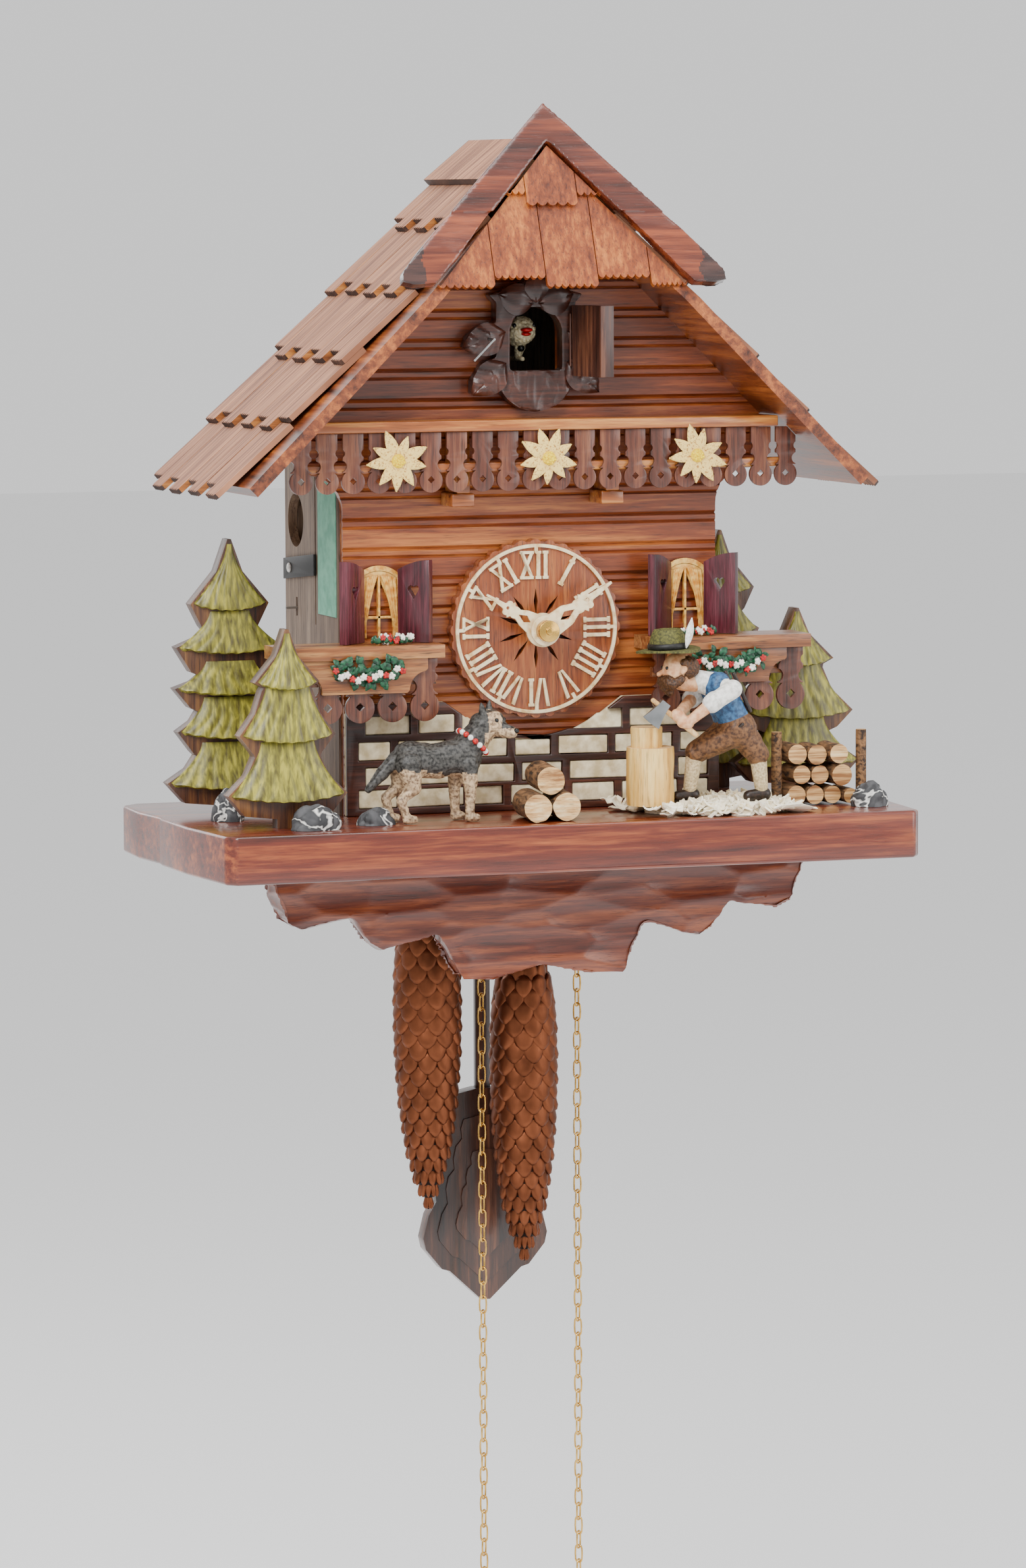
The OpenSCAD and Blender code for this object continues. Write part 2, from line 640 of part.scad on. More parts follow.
module chopper_arms() color("bisque") {
    for (y = [man_y - arm_y, man_y + arm_y]) translate([shoulder[0], y, shoulder[1]]) {
        rod_y(0, 0, -4, 4, 4.2);
        rotate([0, 240, 0]) cylinder(r1 = 3.8, r2 = 2.6, h = 25);
    }
    rod_y(49, 50.5, man_y - arm_y, man_y + arm_y, 2.4);
    translate([53.5, axe_y, 45]) rotate([0, -52, 0]) cylinder(r = 1.3, h = 22);
    translate([0, axe_y + 0.9, 0]) rotate([90, 0, 0]) linear_extrude(1.8)
        polygon([[39.2, 59.5], [43.5, 56.5], [38, 50], [31.2, 53], [33, 57]]);
}

// ---- fittings on the side of the case ----

module side_strap() color("black") translate([-house_half - 1.4, 0, 0])
    rotate([90, 0, 90]) linear_extrude(1.2) difference() {
        polygon([[-47, 109], [-47, 118], [-1, 114], [-1, 105]]);
        translate([-11.6, 110.4]) circle(r = 2);
    }

module paper_label() color("mediumseagreen")
    slab([-house_half - 0.4, -house_half - 0.05], [-76, -50], [93, 150]);

lever_y = -17;

module silence_lever() color("silver") {
    inner = -house_half + wall_t + 0.5;
    slab([-house_half - 5, inner + 1], [lever_y - 0.5, lever_y + 0.5], [93, 94]);
    slab([inner, inner + 1], [lever_y - 0.5, lever_y + 0.5], [93.95, 104]);
}

// ---- movement ----

plate_half = 43;
post_x = 40;

module plate() difference() {
    translate([-plate_half, 38]) square([2 * plate_half, 100]);
    translate([0, dial_z]) circle(r = 1.63);
    for (p = [escape, [0, pivot_z], [-wheel_x, wheel_z], [wheel_x, wheel_z], hammer_pin])
        translate(p) circle(r = 1.15);
}

hammer_pin = [24, 112];
escape = [0, 110.6];

module movement_frame() color("gold") {
    for (y = [plate_front - 1.5, plate_back]) upright(y, 1.5) plate();
    for (x = [-post_x, post_x]) {
        for (z = [42, 134]) rod_y(x, z, plate_front, plate_back, 2);
        slab([x - 3, x + 3], [front_y + wall_t + 0.05, plate_front - 1.55], [124, 132]);
    }
    // bracket and peg that the pendulum hangs on
    slab([-4, 4], [plate_back + 1.5, pend_y + 4], [pivot_z + 6, pivot_z + 7.4]);
    slab([-4, 4], [pend_y + 2.6, pend_y + 4], [pivot_z - 2, pivot_z + 6]);
    rod_y(0, pivot_z, pend_y - 3, pend_y + 2.6, 1.5);
}

gong_c = [44, -16, 44];

module gong() color("silver") {
    slab([gong_c[0] - 5, gong_c[0] + 5], [gong_c[1] - 6, gong_c[1] + 6], [deck + 0.05, deck + 12]);
    translate([gong_c[0], gong_c[1], deck + 12]) cylinder(r = 1, h = gong_c[2] - deck - 12 + 17.2);
    for (r = [9, 13, 17]) translate(gong_c) rotate([90, 0, 0])
        rotate_extrude() translate([r, 0]) circle(r = 0.9, $fn = 16);
    translate(gong_c) cube([34, 1.2, 1.2], center = true);
}

module gong_hammer() color("silver") {
    rod_y(hammer_pin[0], hammer_pin[1], -61, -11, 1.1);
    translate([hammer_pin[0], -12, hammer_pin[1]]) rotate([0, 156, 0]) cylinder(r = 0.9, h = 44);
    translate([hammer_pin[0], -12, hammer_pin[1]]) rotate([0, 156, 0]) translate([0, 0, 42])
        cylinder(r = 2.6, h = 7);
}

module cuckoo_pipe() {
    difference() {
        slab([bellows_x - 8, bellows_x + 8], [-38, -10], [70, 146]);
        slab([bellows_x - 6, bellows_x + 6], [-36, -12], [72, 144]);
        slab([bellows_x - 9, bellows_x - 5], [-30, -18], [128, 134]);
    }
    slab([bellows_x + 8.05, house_half - wall_t - 0.05], [-30, -18], [80, 90]);
}

module cuckoo_pipes() color("burlywood") mirrored() cuckoo_pipe();

module bellows_lid() { // hinged at the back edge of the pipe
    slab([bellows_x - 8, bellows_x + 8], [-40, -10], [150, 152]);
    slab([bellows_x - 7, bellows_x + 7], [-14, -10], [146.4, 149.9]);
    rod_y(bellows_x, 151, -44, -39.9, 0.8);
    translate([bellows_x - 8, -10, 148]) rotate([0, 90, 0]) cylinder(r = 1.2, h = 16); // hinge pin
}

module bellows_right() color("tan") bellows_lid();
module bellows_left() color("tan") mirror([1, 0, 0]) bellows_lid();

module escape_wheel() color("gold") {
    rod_y(escape[0], escape[1], -61, -22, 1.1);
    translate([escape[0], 0, escape[1]]) upright(-34, 1.2) difference() {
        polygon([for (i = [0:23]) for (k = [0, 1])
            let (a = (i + k * 0.35) * 15, q = k == 0 ? 8.6 : 6.4) [q * cos(a), q * sin(a)]]);
        for (a = [0:90:270]) rotate(a + 45) translate([4, 0]) circle(r = 1.5, $fn = 24);
    }
}

module verge() color("silver") { // anchor, arbor and crutch
    rod_y(0, pivot_z, -61, -20, 1.1);
    translate([0, 0, pivot_z]) upright(-34, 1.2) difference() {
        polygon([[-6.6, -8.2], [-8, -7.6], [-6, 1.8], [6, 1.8], [8, -7.6], [6.6, -8.2], [4, -2], [-4, -2]]);
        circle(r = 1);
    }
    rod_y(0, pivot_z - 30, -20, pend_y + 2, 0.8);
    slab([-0.8, 0.8], [-21.4, -19.9], [pivot_z - 31, pivot_z + 1]);
}

module pendulum_rod() color("saddlebrown") {
    difference() {
        slab([-3.4, 3.4], [pend_y - 1.4, pend_y + 1.4], [-136, pivot_z - 6]);
        slab([-1.1, 1.1], [pend_y - 3, pend_y + 3], [pivot_z - 36, pivot_z - 24]);
    }
    difference() { // wire loop the rod hangs from
        rod_y(0, pivot_z, pend_y - 0.6, pend_y + 0.6, 3);
        rod_y(0, pivot_z, pend_y - 2, pend_y + 2, 1.6);
    }
    slab([-0.6, 0.6], [pend_y - 0.6, pend_y + 0.6], [pivot_z - 7, pivot_z - 2.4]);
}

bob = [[3.6, -119], [13, -121], [14.5, -126], [14, -132], [17.5, -136], [19, -143], [18.5, -149], [22, -153],
    [23.5, -160], [22.5, -168], [26, -174], [28.5, -184], [27.4, -189], [20, -198], [16.5, -199],
    [9, -206], [2, -212.5]];

module pendulum_bob() color("#3a2418") difference() {
    upright(pend_y - 4, 8) polygon(concat(bob, [for (i = [len(bob) - 1:-1:0]) [-bob[i][0], bob[i][1]]]));
    slab([-3.43, 3.43], [pend_y - 1.43, pend_y + 1.43], [-150, -110]);
}

// ---- chains, chain wheels and weights ----

module link() rotate([90, 0, 0]) linear_extrude(link_wire, center = true) difference() {
    link_shape(link_w / 2);
    link_shape(link_w / 2 - link_wire);
}

module link_shape(r) {
    square([2 * r, link_len - link_w], center = true);
    for (s = [-1, 1]) translate([0, s * (link_len - link_w) / 2]) circle(r = r, $fn = 16);
}

module strand(x, z0, n) for (i = [0:n - 1]) // n links hanging down from z0
    translate([x, chain_y, z0 - (i + 0.5) * link_pitch]) rotate([0, 0, 45 + 90 * ((i + 1) % 2)]) link();

over_n = 6;              // links lying over the wheel

module chain_wheel(s) translate([s * wheel_x, 0, wheel_z]) {
    for (i = [0:over_n - 1]) let (a = 180 * (i + 0.5) / over_n)
        translate([chain_r * cos(a), chain_y, chain_r * sin(a)])
            rotate([0, -a, 0]) rotate([0, 0, 45 + 90 * (i % 2)]) link();
    rod_y(0, 0, -61, -22, 1.1);
    rod_y(0, 0, chain_y - 4.6, chain_y - 3, 14.6);
    rod_y(0, 0, chain_y - 3, chain_y + 3, 9.8);
    rod_y(0, 0, chain_y + 3, chain_y + 4.6, 14.6);
    upright(chain_y + 6.4, 1.6) toothed(17.6, 72, 1);
}

module chain_wheel_left() color("gold") chain_wheel(-1);
module chain_wheel_right() color("gold") chain_wheel(1);

left_links = 13;         // links between the wheel and each weight's hook
right_links = 17;

module chain_left() color("gold") strand(-wheel_x - chain_r, wheel_z, left_links);
module chain_right() color("gold") strand(wheel_x - chain_r, wheel_z, right_links);

module ring(x, z) translate([x, chain_y, z - 10.6]) rotate([0, 0, -45]) rotate([90, 0, 0])
    rotate_extrude() translate([11.5, 0]) circle(r = 0.9, $fn = 16);

module ring_chain_left() color("gold") {
    strand(-wheel_x + chain_r, wheel_z, free_links);
    ring(-wheel_x + chain_r, wheel_z - free_links * link_pitch);
}

module ring_chain_right() color("gold") {
    strand(wheel_x + chain_r, wheel_z, free_links);
    ring(wheel_x + chain_r, wheel_z - free_links * link_pitch);
}

// pine cone outline: radius along its length, as shares of cone_r and cone_len
cone_shape = [[0.34, 0], [0.62, 0.03], [0.86, 0.1], [0.97, 0.2], [1, 0.34], [0.97, 0.5], [0.86, 0.66],
    [0.68, 0.8], [0.45, 0.9], [0.22, 0.965], [0.05, 1], [0, 1]];

module cone_weight(x, top) translate([x, chain_y, top]) {
    rotate_extrude() polygon(concat([[0, 0]], [for (p = cone_shape) [p[0] * cone_r, -p[1] * cone_len]]));
    difference() { // the hook's eye and its shank
        union() {
            translate([-1, -0.8, -2]) cube([2, 1.6, 6.2]);
            rod_y(0, 6.4, -0.35, 0.35, 3.3);
        }
        rod_y(0, 6.4, -2, 2, 1.9);
    }
}

module weight_left() color("#6b4630")
    cone_weight(-wheel_x - chain_r, wheel_z - left_links * link_pitch - 8.1);
module weight_right() color("#6b4630")
    cone_weight(wheel_x - chain_r, wheel_z - right_links * link_pitch - 8.1);

// ---- the parts, each drawn alone when its name is chosen ----

base_plank();
rock_apron();
front_wall();
side_walls();
back_panel();
back_gable();
wall_hanger();
roof_board_left();
roof_board_right();
roof_shingles_left();
roof_shingles_right();
barge_boards();
gable_shingles();
balcony_beam();
fretwork_slats();
edelweiss_flowers();
windows();
shutters();
window_ledges();
flower_garlands();
stone_lattice();
stone_panels();
dial();
dial_numerals();
cuckoo_frame();
spruces();
rocks();
firewood();
chopping_block();
wood_chips();
shepherd_dog();
woodchopper();
chopper_arms();
side_strap();
paper_label();
silence_lever();
movement_frame();
gong();
gong_hammer();
cuckoo_pipes();
bellows_left();
bellows_right();
centre_arbor();
minute_hand();
hour_hand();
escape_wheel();
verge();
pendulum_rod();
pendulum_bob();
cuckoo_door();
door_latch();
cuckoo_bird();
chain_wheel_left();
chain_wheel_right();
weight_left();
weight_right();
chain_left();
chain_right();
ring_chain_left();
ring_chain_right();
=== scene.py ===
"""The looks of a carved chalet cuckoo clock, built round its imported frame."""
import math
import random

import bmesh
import bpy
from mathutils import Euler, Matrix, Quaternion, Vector, noise


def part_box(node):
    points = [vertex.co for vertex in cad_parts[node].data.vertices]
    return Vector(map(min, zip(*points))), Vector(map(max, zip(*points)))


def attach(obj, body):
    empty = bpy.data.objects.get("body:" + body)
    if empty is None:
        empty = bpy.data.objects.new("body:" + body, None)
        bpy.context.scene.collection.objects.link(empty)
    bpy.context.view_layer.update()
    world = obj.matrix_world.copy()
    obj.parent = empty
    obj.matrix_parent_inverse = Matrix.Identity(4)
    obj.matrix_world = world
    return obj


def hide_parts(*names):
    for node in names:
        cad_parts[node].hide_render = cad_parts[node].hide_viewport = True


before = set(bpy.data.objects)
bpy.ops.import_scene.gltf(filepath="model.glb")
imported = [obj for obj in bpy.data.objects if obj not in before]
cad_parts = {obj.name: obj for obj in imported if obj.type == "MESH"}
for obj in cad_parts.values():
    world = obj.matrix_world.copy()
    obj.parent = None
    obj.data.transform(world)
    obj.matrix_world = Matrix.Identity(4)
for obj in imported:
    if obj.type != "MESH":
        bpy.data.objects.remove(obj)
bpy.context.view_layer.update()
MM = 0.001

# ---- Camera, lights and floor ----
# A long lens from the left and a little above, three soft studio lamps and a pale floor well below.

lens_camera = bpy.data.cameras.new("camera")
lens_camera.sensor_width = 36
lens_camera.lens = 134.62
camera = bpy.data.objects.new("camera", lens_camera)
bpy.context.collection.objects.link(camera)
camera.location = (-0.79205, -2.42390, 0.26735)
camera.rotation_mode = "QUATERNION"
camera.rotation_quaternion = (Euler((math.radians(84.3), 0, math.radians(-18.5))).to_quaternion()
                              @ Quaternion((0, 0, 1), math.radians(-0.25)))
bpy.context.scene.camera = camera


def linear(code):
    """An sRGB hex colour as the linear colour that shaders take."""
    parts = [int(code[i:i + 2], 16) / 255 for i in (1, 3, 5)]
    return tuple(c / 12.92 if c <= 0.04045 else ((c + 0.055) / 1.055) ** 2.4 for c in parts) + (1.0,)


for lamp_name, place, size, power in (("key", (-1.3, -1.9, 1.5), 1.1, 68), ("fill", (1.9, -1.7, 0.7), 1.6, 30),
                                      ("top", (0.1, -0.5, 1.9), 1.4, 28), ("back", (-0.9, 1.7, 1.0), 1.4, 16)):
    glow = bpy.data.lights.new(lamp_name, "AREA")
    glow.size = size
    glow.energy = power
    lamp = bpy.data.objects.new(lamp_name, glow)
    bpy.context.collection.objects.link(lamp)
    lamp.location = place
    lamp.rotation_euler = (Vector((0, -0.05, 0.05)) - Vector(place)).to_track_quat("-Z", "Y").to_euler()

studio = bpy.data.worlds.new("studio")
studio.use_nodes = True
studio.node_tree.nodes["Background"].inputs["Color"].default_value = linear("#F6F6F6")
studio.node_tree.nodes["Background"].inputs["Strength"].default_value = 1.05
bpy.context.scene.world = studio


def put(material, kind, settings=None, links=None):
    """Adds a node; lower-case settings are the node's own, the others are its inputs."""
    node = material.node_tree.nodes.new(kind)
    for key, value in (settings or {}).items():
        if isinstance(key, int) or not key[0].islower():
            node.inputs[key].default_value = value
        else:
            setattr(node, key, value)
    for key, source in (links or {}).items():
        material.node_tree.links.new(source, node.inputs[key])
    return node


def finish(name, settings):
    """A new material with its shader's own settings."""
    material = bpy.data.materials.new(name)
    material.use_nodes = True
    shader = material.node_tree.nodes["Principled BSDF"]
    for key, value in settings.items():
        shader.inputs[key].default_value = value
    return material, shader


def join_up(material, output, shader, socket):
    material.node_tree.links.new(output, shader.inputs[socket])


def take(piece):
    """Makes a piece the only selected and active one."""
    bpy.ops.object.select_all(action="DESELECT")
    piece.select_set(True)
    bpy.context.view_layer.objects.active = piece


def begin(primitive, **settings):
    """Adds a primitive with nothing else selected."""
    bpy.ops.object.select_all(action="DESELECT")
    primitive(**settings)
    return bpy.context.object


def face_outwards(piece):
    """Recalculates the normals of a finished shell."""
    take(piece)
    bpy.ops.object.mode_set(mode="EDIT")
    bpy.ops.mesh.select_all(action="SELECT")
    bpy.ops.mesh.normals_make_consistent(inside=False)
    bpy.ops.object.mode_set(mode="OBJECT")


def settle(piece, material=None, smooth=None):
    """Applies a piece's place and modifiers, gives it its finish and rounds its shading."""
    take(piece)
    bpy.ops.object.transform_apply(location=True, rotation=True, scale=True)
    for modifier in list(piece.modifiers):
        bpy.ops.object.modifier_apply(modifier=modifier.name)
    if smooth is not None:
        bpy.ops.object.shade_smooth_by_angle(angle=math.radians(smooth))
    if material:
        piece.data.materials.clear()
        piece.data.materials.append(material)
    return piece


floor = begin(bpy.ops.mesh.primitive_plane_add, size=30, location=(0, 0, -0.62))
floor.name = "studio_floor"
paper, shader = finish("seamless_paper", {"Roughness": 0.9, "Base Color": linear("#F2F2F2")})
grit = put(paper, "ShaderNodeTexNoise", {"Scale": 60.0})
join_up(paper, put(paper, "ShaderNodeMapRange", {"To Min": 0.86, "To Max": 0.94},
                   {"Value": grit.outputs["Fac"]}).outputs["Result"], shader, "Roughness")
floor.data.materials.append(paper)


# ---- Stained and varnished wood ----
# Most of the case is spruce and lime wood, stained and sprayed with a glossy varnish: long dark
# growth lines, broad light and dark bands, and fine pores that the varnish only half fills.

def stained_wood(name, dark, middle, light, grain, line_mm=1.1, gloss=0.32, coat=0.35, pores=0.25,
                 contrast=1.0):
    """Wood with its grain along the given axis; line_mm is the width of a growth line."""
    material, shader = finish(name, {"Coat Weight": coat, "Coat Roughness": 0.18, "IOR": 1.5})
    along = 0.055
    stretch = {"x": (along, 1, 1), "y": (1, along, 1), "z": (1, 1, along)}[grain]
    coords = put(material, "ShaderNodeTexCoord")
    grained = put(material, "ShaderNodeMapping", {"Scale": stretch}, {"Vector": coords.outputs["Object"]})
    bands = put(material, "ShaderNodeTexNoise", {"Scale": 1 / (13 * MM), "Detail": 2.0, "Distortion": 0.4},
                {"Vector": grained.outputs["Vector"]})
    lines = put(material, "ShaderNodeTexNoise", {"Scale": 1 / (2 * line_mm * MM), "Detail": 4.0,
                "Roughness": 0.62, "Distortion": 0.25}, {"Vector": grained.outputs["Vector"]})
    tone = put(material, "ShaderNodeMix", {"data_type": "FLOAT", "Factor": 0.45},
               {"A": lines.outputs["Fac"], "B": bands.outputs["Fac"]})
    ramp = put(material, "ShaderNodeValToRGB", None, {"Fac": tone.outputs["Result"]})
    middle_at = 0.5
    spread = 0.16 / contrast
    ramp.color_ramp.elements[0].position = middle_at - spread
    ramp.color_ramp.elements[0].color = linear(dark)
    ramp.color_ramp.elements[1].position = middle_at + spread
    ramp.color_ramp.elements[1].color = linear(light)
    ramp.color_ramp.elements.new(middle_at).color = linear(middle)
    fibres = put(material, "ShaderNodeTexNoise", {"Scale": 1 / (0.55 * MM), "Detail": 2.0},
                 {"Vector": grained.outputs["Vector"]})
    pitted = put(material, "ShaderNodeMapRange", {"From Min": 0.56, "From Max": 0.7, "To Min": 1.0,
                 "To Max": 1 - pores * 2}, {"Value": fibres.outputs["Fac"]})
    toned = put(material, "ShaderNodeMix", {"data_type": "RGBA", "blend_type": "MULTIPLY", 0: 1.0},
                {6: ramp.outputs["Color"], 7: pitted.outputs["Result"]})
    join_up(material, toned.outputs[2], shader, "Base Color")
    join_up(material, put(material, "ShaderNodeMapRange", {"To Min": gloss - 0.06, "To Max": gloss + 0.14},
                          {"Value": lines.outputs["Fac"]}).outputs["Result"], shader, "Roughness")
    relief = put(material, "ShaderNodeMath", {"operation": "MULTIPLY", 1: 0.6}, {0: lines.outputs["Fac"]})
    relief = put(material, "ShaderNodeMath", {"operation": "ADD"},
                 {0: relief.outputs["Value"], 1: pitted.outputs["Result"]})
    bump = put(material, "ShaderNodeBump", {"Strength": 0.35, "Distance": 0.25 * MM},
               {"Height": relief.outputs["Value"]})
    join_up(material, bump.outputs["Normal"], shader, "Normal")
    return material


def blank_of(node, name, flat=2.0):
    """A copy of a frame node as one clean editable mesh, which stands in for the node."""
    piece = bpy.data.objects.new(name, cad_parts[node].data.copy())
    bpy.context.collection.objects.link(piece)
    piece.data.materials.clear()
    take(piece)
    bpy.ops.object.mode_set(mode="EDIT")
    bpy.ops.mesh.select_all(action="SELECT")
    bpy.ops.mesh.remove_doubles(threshold=0.004 * MM)
    if flat:
        bpy.ops.mesh.dissolve_limited(angle_limit=math.radians(flat))
    bpy.ops.object.mode_set(mode="OBJECT")
    return piece


def soften(piece, width_mm, segments=2, angle=28):
    """Rounds a piece's sharp edges, as sanding does."""
    bevel = piece.modifiers.new("edges", "BEVEL")
    bevel.width = width_mm * MM
    bevel.segments = segments
    bevel.limit_method = "ANGLE"
    bevel.angle_limit = math.radians(angle)


def shown_as(piece, node, body="case"):
    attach(piece, body)
    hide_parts(node)


def planed(node, name, material, round_mm, segments=2, angle=28, smooth=35, body="case", flat=2.0):
    """A clean copy of a frame node with rounded edges, finished and shown in the node's place."""
    piece = blank_of(node, name, flat)
    soften(piece, round_mm, segments, angle)
    shown_as(piece, node, body)
    settle(piece, material, smooth)


def whittle(piece, voxel_mm, cut_mm, depth_mm, stretch=(1, 1, 1), where=None, round_mm=0):
    """Covers a piece with shallow gouge cuts that meet in ridges, as a carving knife leaves."""
    take(piece)
    remesh = piece.modifiers.new("clay", "REMESH")
    remesh.mode = "VOXEL"
    remesh.voxel_size = voxel_mm * MM
    bpy.ops.object.modifier_apply(modifier=remesh.name)
    if round_mm:
        smooth = piece.modifiers.new("rounding", "SMOOTH")
        smooth.iterations = int(round_mm / voxel_mm * 4)
        smooth.factor = 0.6
        bpy.ops.object.modifier_apply(modifier=smooth.name)
    normals = [v.normal.copy() for v in piece.data.vertices]
    for vertex, normal in zip(piece.data.vertices, normals):
        share = where(vertex.co, normal) if where else 1.0
        if share <= 0:
            continue
        point = Vector(vertex.co[i] * stretch[i] / (cut_mm * MM) for i in range(3))
        near = noise.voronoi(point)[0][0]
        vertex.co -= normal * share * depth_mm * MM * max(0.0, 1 - near * near * 1.6)


# ---- Base plank ----
# A thick spruce plank stained red brown and varnished. Its front arris is planed and sanded round,
# and its ends are cut with a knife into a wavy edge.

plank_wood = stained_wood("varnished_spruce_plank", "#34110A", "#682614", "#A8582A", "x", 1.3, 0.25, 0.6, 0.12,
                          0.95)
planed("base_plank", "base_plank_wood", plank_wood, 2.6, 4, 35, smooth=25)


# ---- Carved apron under the plank ----
# A thick board sawn to stepped waves and carved all over with long level gouge cuts, its lower
# edges rounded off with the knife.

carved_wood = stained_wood("carved_stained_lime", "#2C100A", "#602613", "#9A5028", "x", 1.2, 0.32, 0.4, 0.2,
                           0.85)
apron = blank_of("rock_apron", "rock_apron_carved")
whittle(apron, 1.0, 11, 2.6, (0.32, 0.6, 1.0), round_mm=1.2,
        where=lambda p, n: 1.0 if n.y < -0.3 or n.z < -0.2 else 0.25)
shown_as(apron, "rock_apron")
settle(apron, carved_wood, 40)


# ---- Log walls ----
# The front is one board with half-round log mouldings run along it; the sides and back are plain
# plywood, unvarnished and greyish.

siding = stained_wood("varnished_log_siding", "#3C1809", "#803C1B", "#BE7234", "x", 0.95, 0.28, 0.5, 0.2, 0.8)


def shown_with(material, *nodes):
    """Gives a finish to frame nodes that are shown in their own shape."""
    for node in nodes:
        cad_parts[node].data.materials.clear()
        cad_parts[node].data.materials.append(material)


shown_with(siding, "front_wall")
bare_wood = stained_wood("unvarnished_plywood", "#4A3A33", "#75604F", "#9C8672", "z", 0.9, 0.62, 0.0, 0.3, 0.9)
shown_with(bare_wood, "side_walls", "back_panel", "back_gable")


# ---- Roof boards ----
# Two boards meet at the ridge; their undersides and front edges are stained like the case.

roof_wood = stained_wood("stained_roof_board", "#33160D", "#7A3C1C", "#B8692F", "y", 1.6, 0.36, 0.3, 0.2, 1.1)
shown_with(roof_wood, "roof_board_left", "roof_board_right")


# ---- Roof shingles ----
# Thin grooved boards laid in five courses. Each lower end is cut with a fine saw into small teeth
# and every second tab is cut short; the wood is brushed and left matt.

RISE = math.radians(45)
roof_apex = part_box("front_wall")[1][2]
board_thick = 5 * MM
shingle_mm = 2.4
course_pitch = 27.1 * MM * math.sqrt(2)
shingle_tilt = math.radians(3.7)


def on_right_slope(down, depth, above):
    """A point by its distance down the right slope, its depth and its height above the board's underside."""
    return Vector(((down + above) * math.cos(RISE), depth, roof_apex + (above - down) * math.sin(RISE)))


def shingle_finish():
    """Brushed matt wood: close grooves down the slope, greyish face, amber sawn sides, and sawn ends darkened
    by end grain and painted shade.
    """
    material, shader = finish("brushed_matt_shingle", {"IOR": 1.45})
    coords = put(material, "ShaderNodeTexCoord")
    spot = put(material, "ShaderNodeSeparateXYZ", None, {"Vector": coords.outputs["Object"]})
    grooves = put(material, "ShaderNodeTexNoise",
                  {"noise_dimensions": "1D", "Scale": 1 / (1.1 * MM), "Detail": 2.0},
                  {"W": spot.outputs["Y"]})
    squeezed = put(material, "ShaderNodeMapping", {"Scale": (0.06, 1, 0.06)},
                   {"Vector": coords.outputs["Object"]})
    grain = put(material, "ShaderNodeTexNoise", {"Scale": 1 / (2.6 * MM), "Detail": 4.0},
                {"Vector": squeezed.outputs["Vector"]})
    ramp = put(material, "ShaderNodeValToRGB", None, {"Fac": grain.outputs["Fac"]})
    ramp.color_ramp.elements[0].position = 0.3
    ramp.color_ramp.elements[0].color = linear("#74452F")
    ramp.color_ramp.elements[1].position = 0.72
    ramp.color_ramp.elements[1].color = linear("#C68E6C")
    dark = put(material, "ShaderNodeMapRange",
               {"From Min": 0.36, "From Max": 0.5, "To Min": 0.55, "To Max": 1.0},
               {"Value": grooves.outputs["Fac"]})
    toned = put(material, "ShaderNodeMix", {"data_type": "RGBA", "blend_type": "MULTIPLY", 0: 1.0},
                {6: ramp.outputs["Color"], 7: dark.outputs["Result"]})
    join_up(material, toned.outputs[2], shader, "Base Color")
    join_up(material, put(material, "ShaderNodeMapRange", {"To Min": 0.55, "To Max": 0.8},
                          {"Value": grain.outputs["Fac"]}).outputs["Result"], shader, "Roughness")
    bump = put(material, "ShaderNodeBump", {"Strength": 0.6, "Distance": 0.3 * MM},
               {"Height": dark.outputs["Result"]})
    join_up(material, bump.outputs["Normal"], shader, "Normal")
    return material


shingle_face = shingle_finish()
# near-black tone for the sawn ends, which face down the slope: darker end grain, deepened as painted shade
dark_end_and_shade = stained_wood("end_grain_and_painted_shade", "#1F120E", "#3A241B", "#5A3A2B", "z", 0.8, 0.6, 0.0, 0.3)
sawn_side = stained_wood("amber_sawn_side", "#5A2F14", "#9A5B26", "#C98A42", "x", 0.9, 0.5, 0.1, 0.2)

TAB = 13.2 * MM  # one long and one short tab make one shingle
TEETH = 5


def thicken(piece, thick_mm, offset=-1.0):
    """Gives a sheet its thickness."""
    solid = piece.modifiers.new("thickness", "SOLIDIFY")
    solid.thickness = thick_mm * MM
    solid.offset = offset
    take(piece)
    bpy.ops.object.modifier_apply(modifier=solid.name)


def merge(pieces, name):
    """Joins several pieces into one, keeping their finishes."""
    bpy.ops.object.select_all(action="DESELECT")
    for piece in pieces:
        piece.select_set(True)
    bpy.context.view_layer.objects.active = pieces[0]
    if len(pieces) > 1:
        bpy.ops.object.join()
    pieces[0].name = name
    return pieces[0]


def copies(pattern, places, name):
    """One object made of a pattern's copies, one for each matrix."""
    made = []
    for place in places:
        piece = bpy.data.objects.new(name, pattern.data.copy())
        bpy.context.collection.objects.link(piece)
        piece.data.transform(place)
        made.append(piece)
    bpy.data.objects.remove(pattern)
    return merge(made, name)


def shingle_tab(name, width, length):
    """One tab: a thin board whose far end is sawn into small teeth."""
    tab = begin(bpy.ops.mesh.primitive_grid_add, x_subdivisions=2, y_subdivisions=2 * TEETH, size=1)
    tab.name = name
    for vertex in tab.data.vertices:
        far = vertex.co.x > 0
        step = round((vertex.co.y + 0.5) * 2 * TEETH)
        tooth = -1.3 * MM if far and step % 2 == 0 else 0
        vertex.co.x = length * (0 if not far and vertex.co.x < -0.25 else (0.5 if not far else 1)) + tooth
        vertex.co.y = vertex.co.y * (width - 0.35 * MM)
    thicken(tab, shingle_mm, 1.0)
    return tab


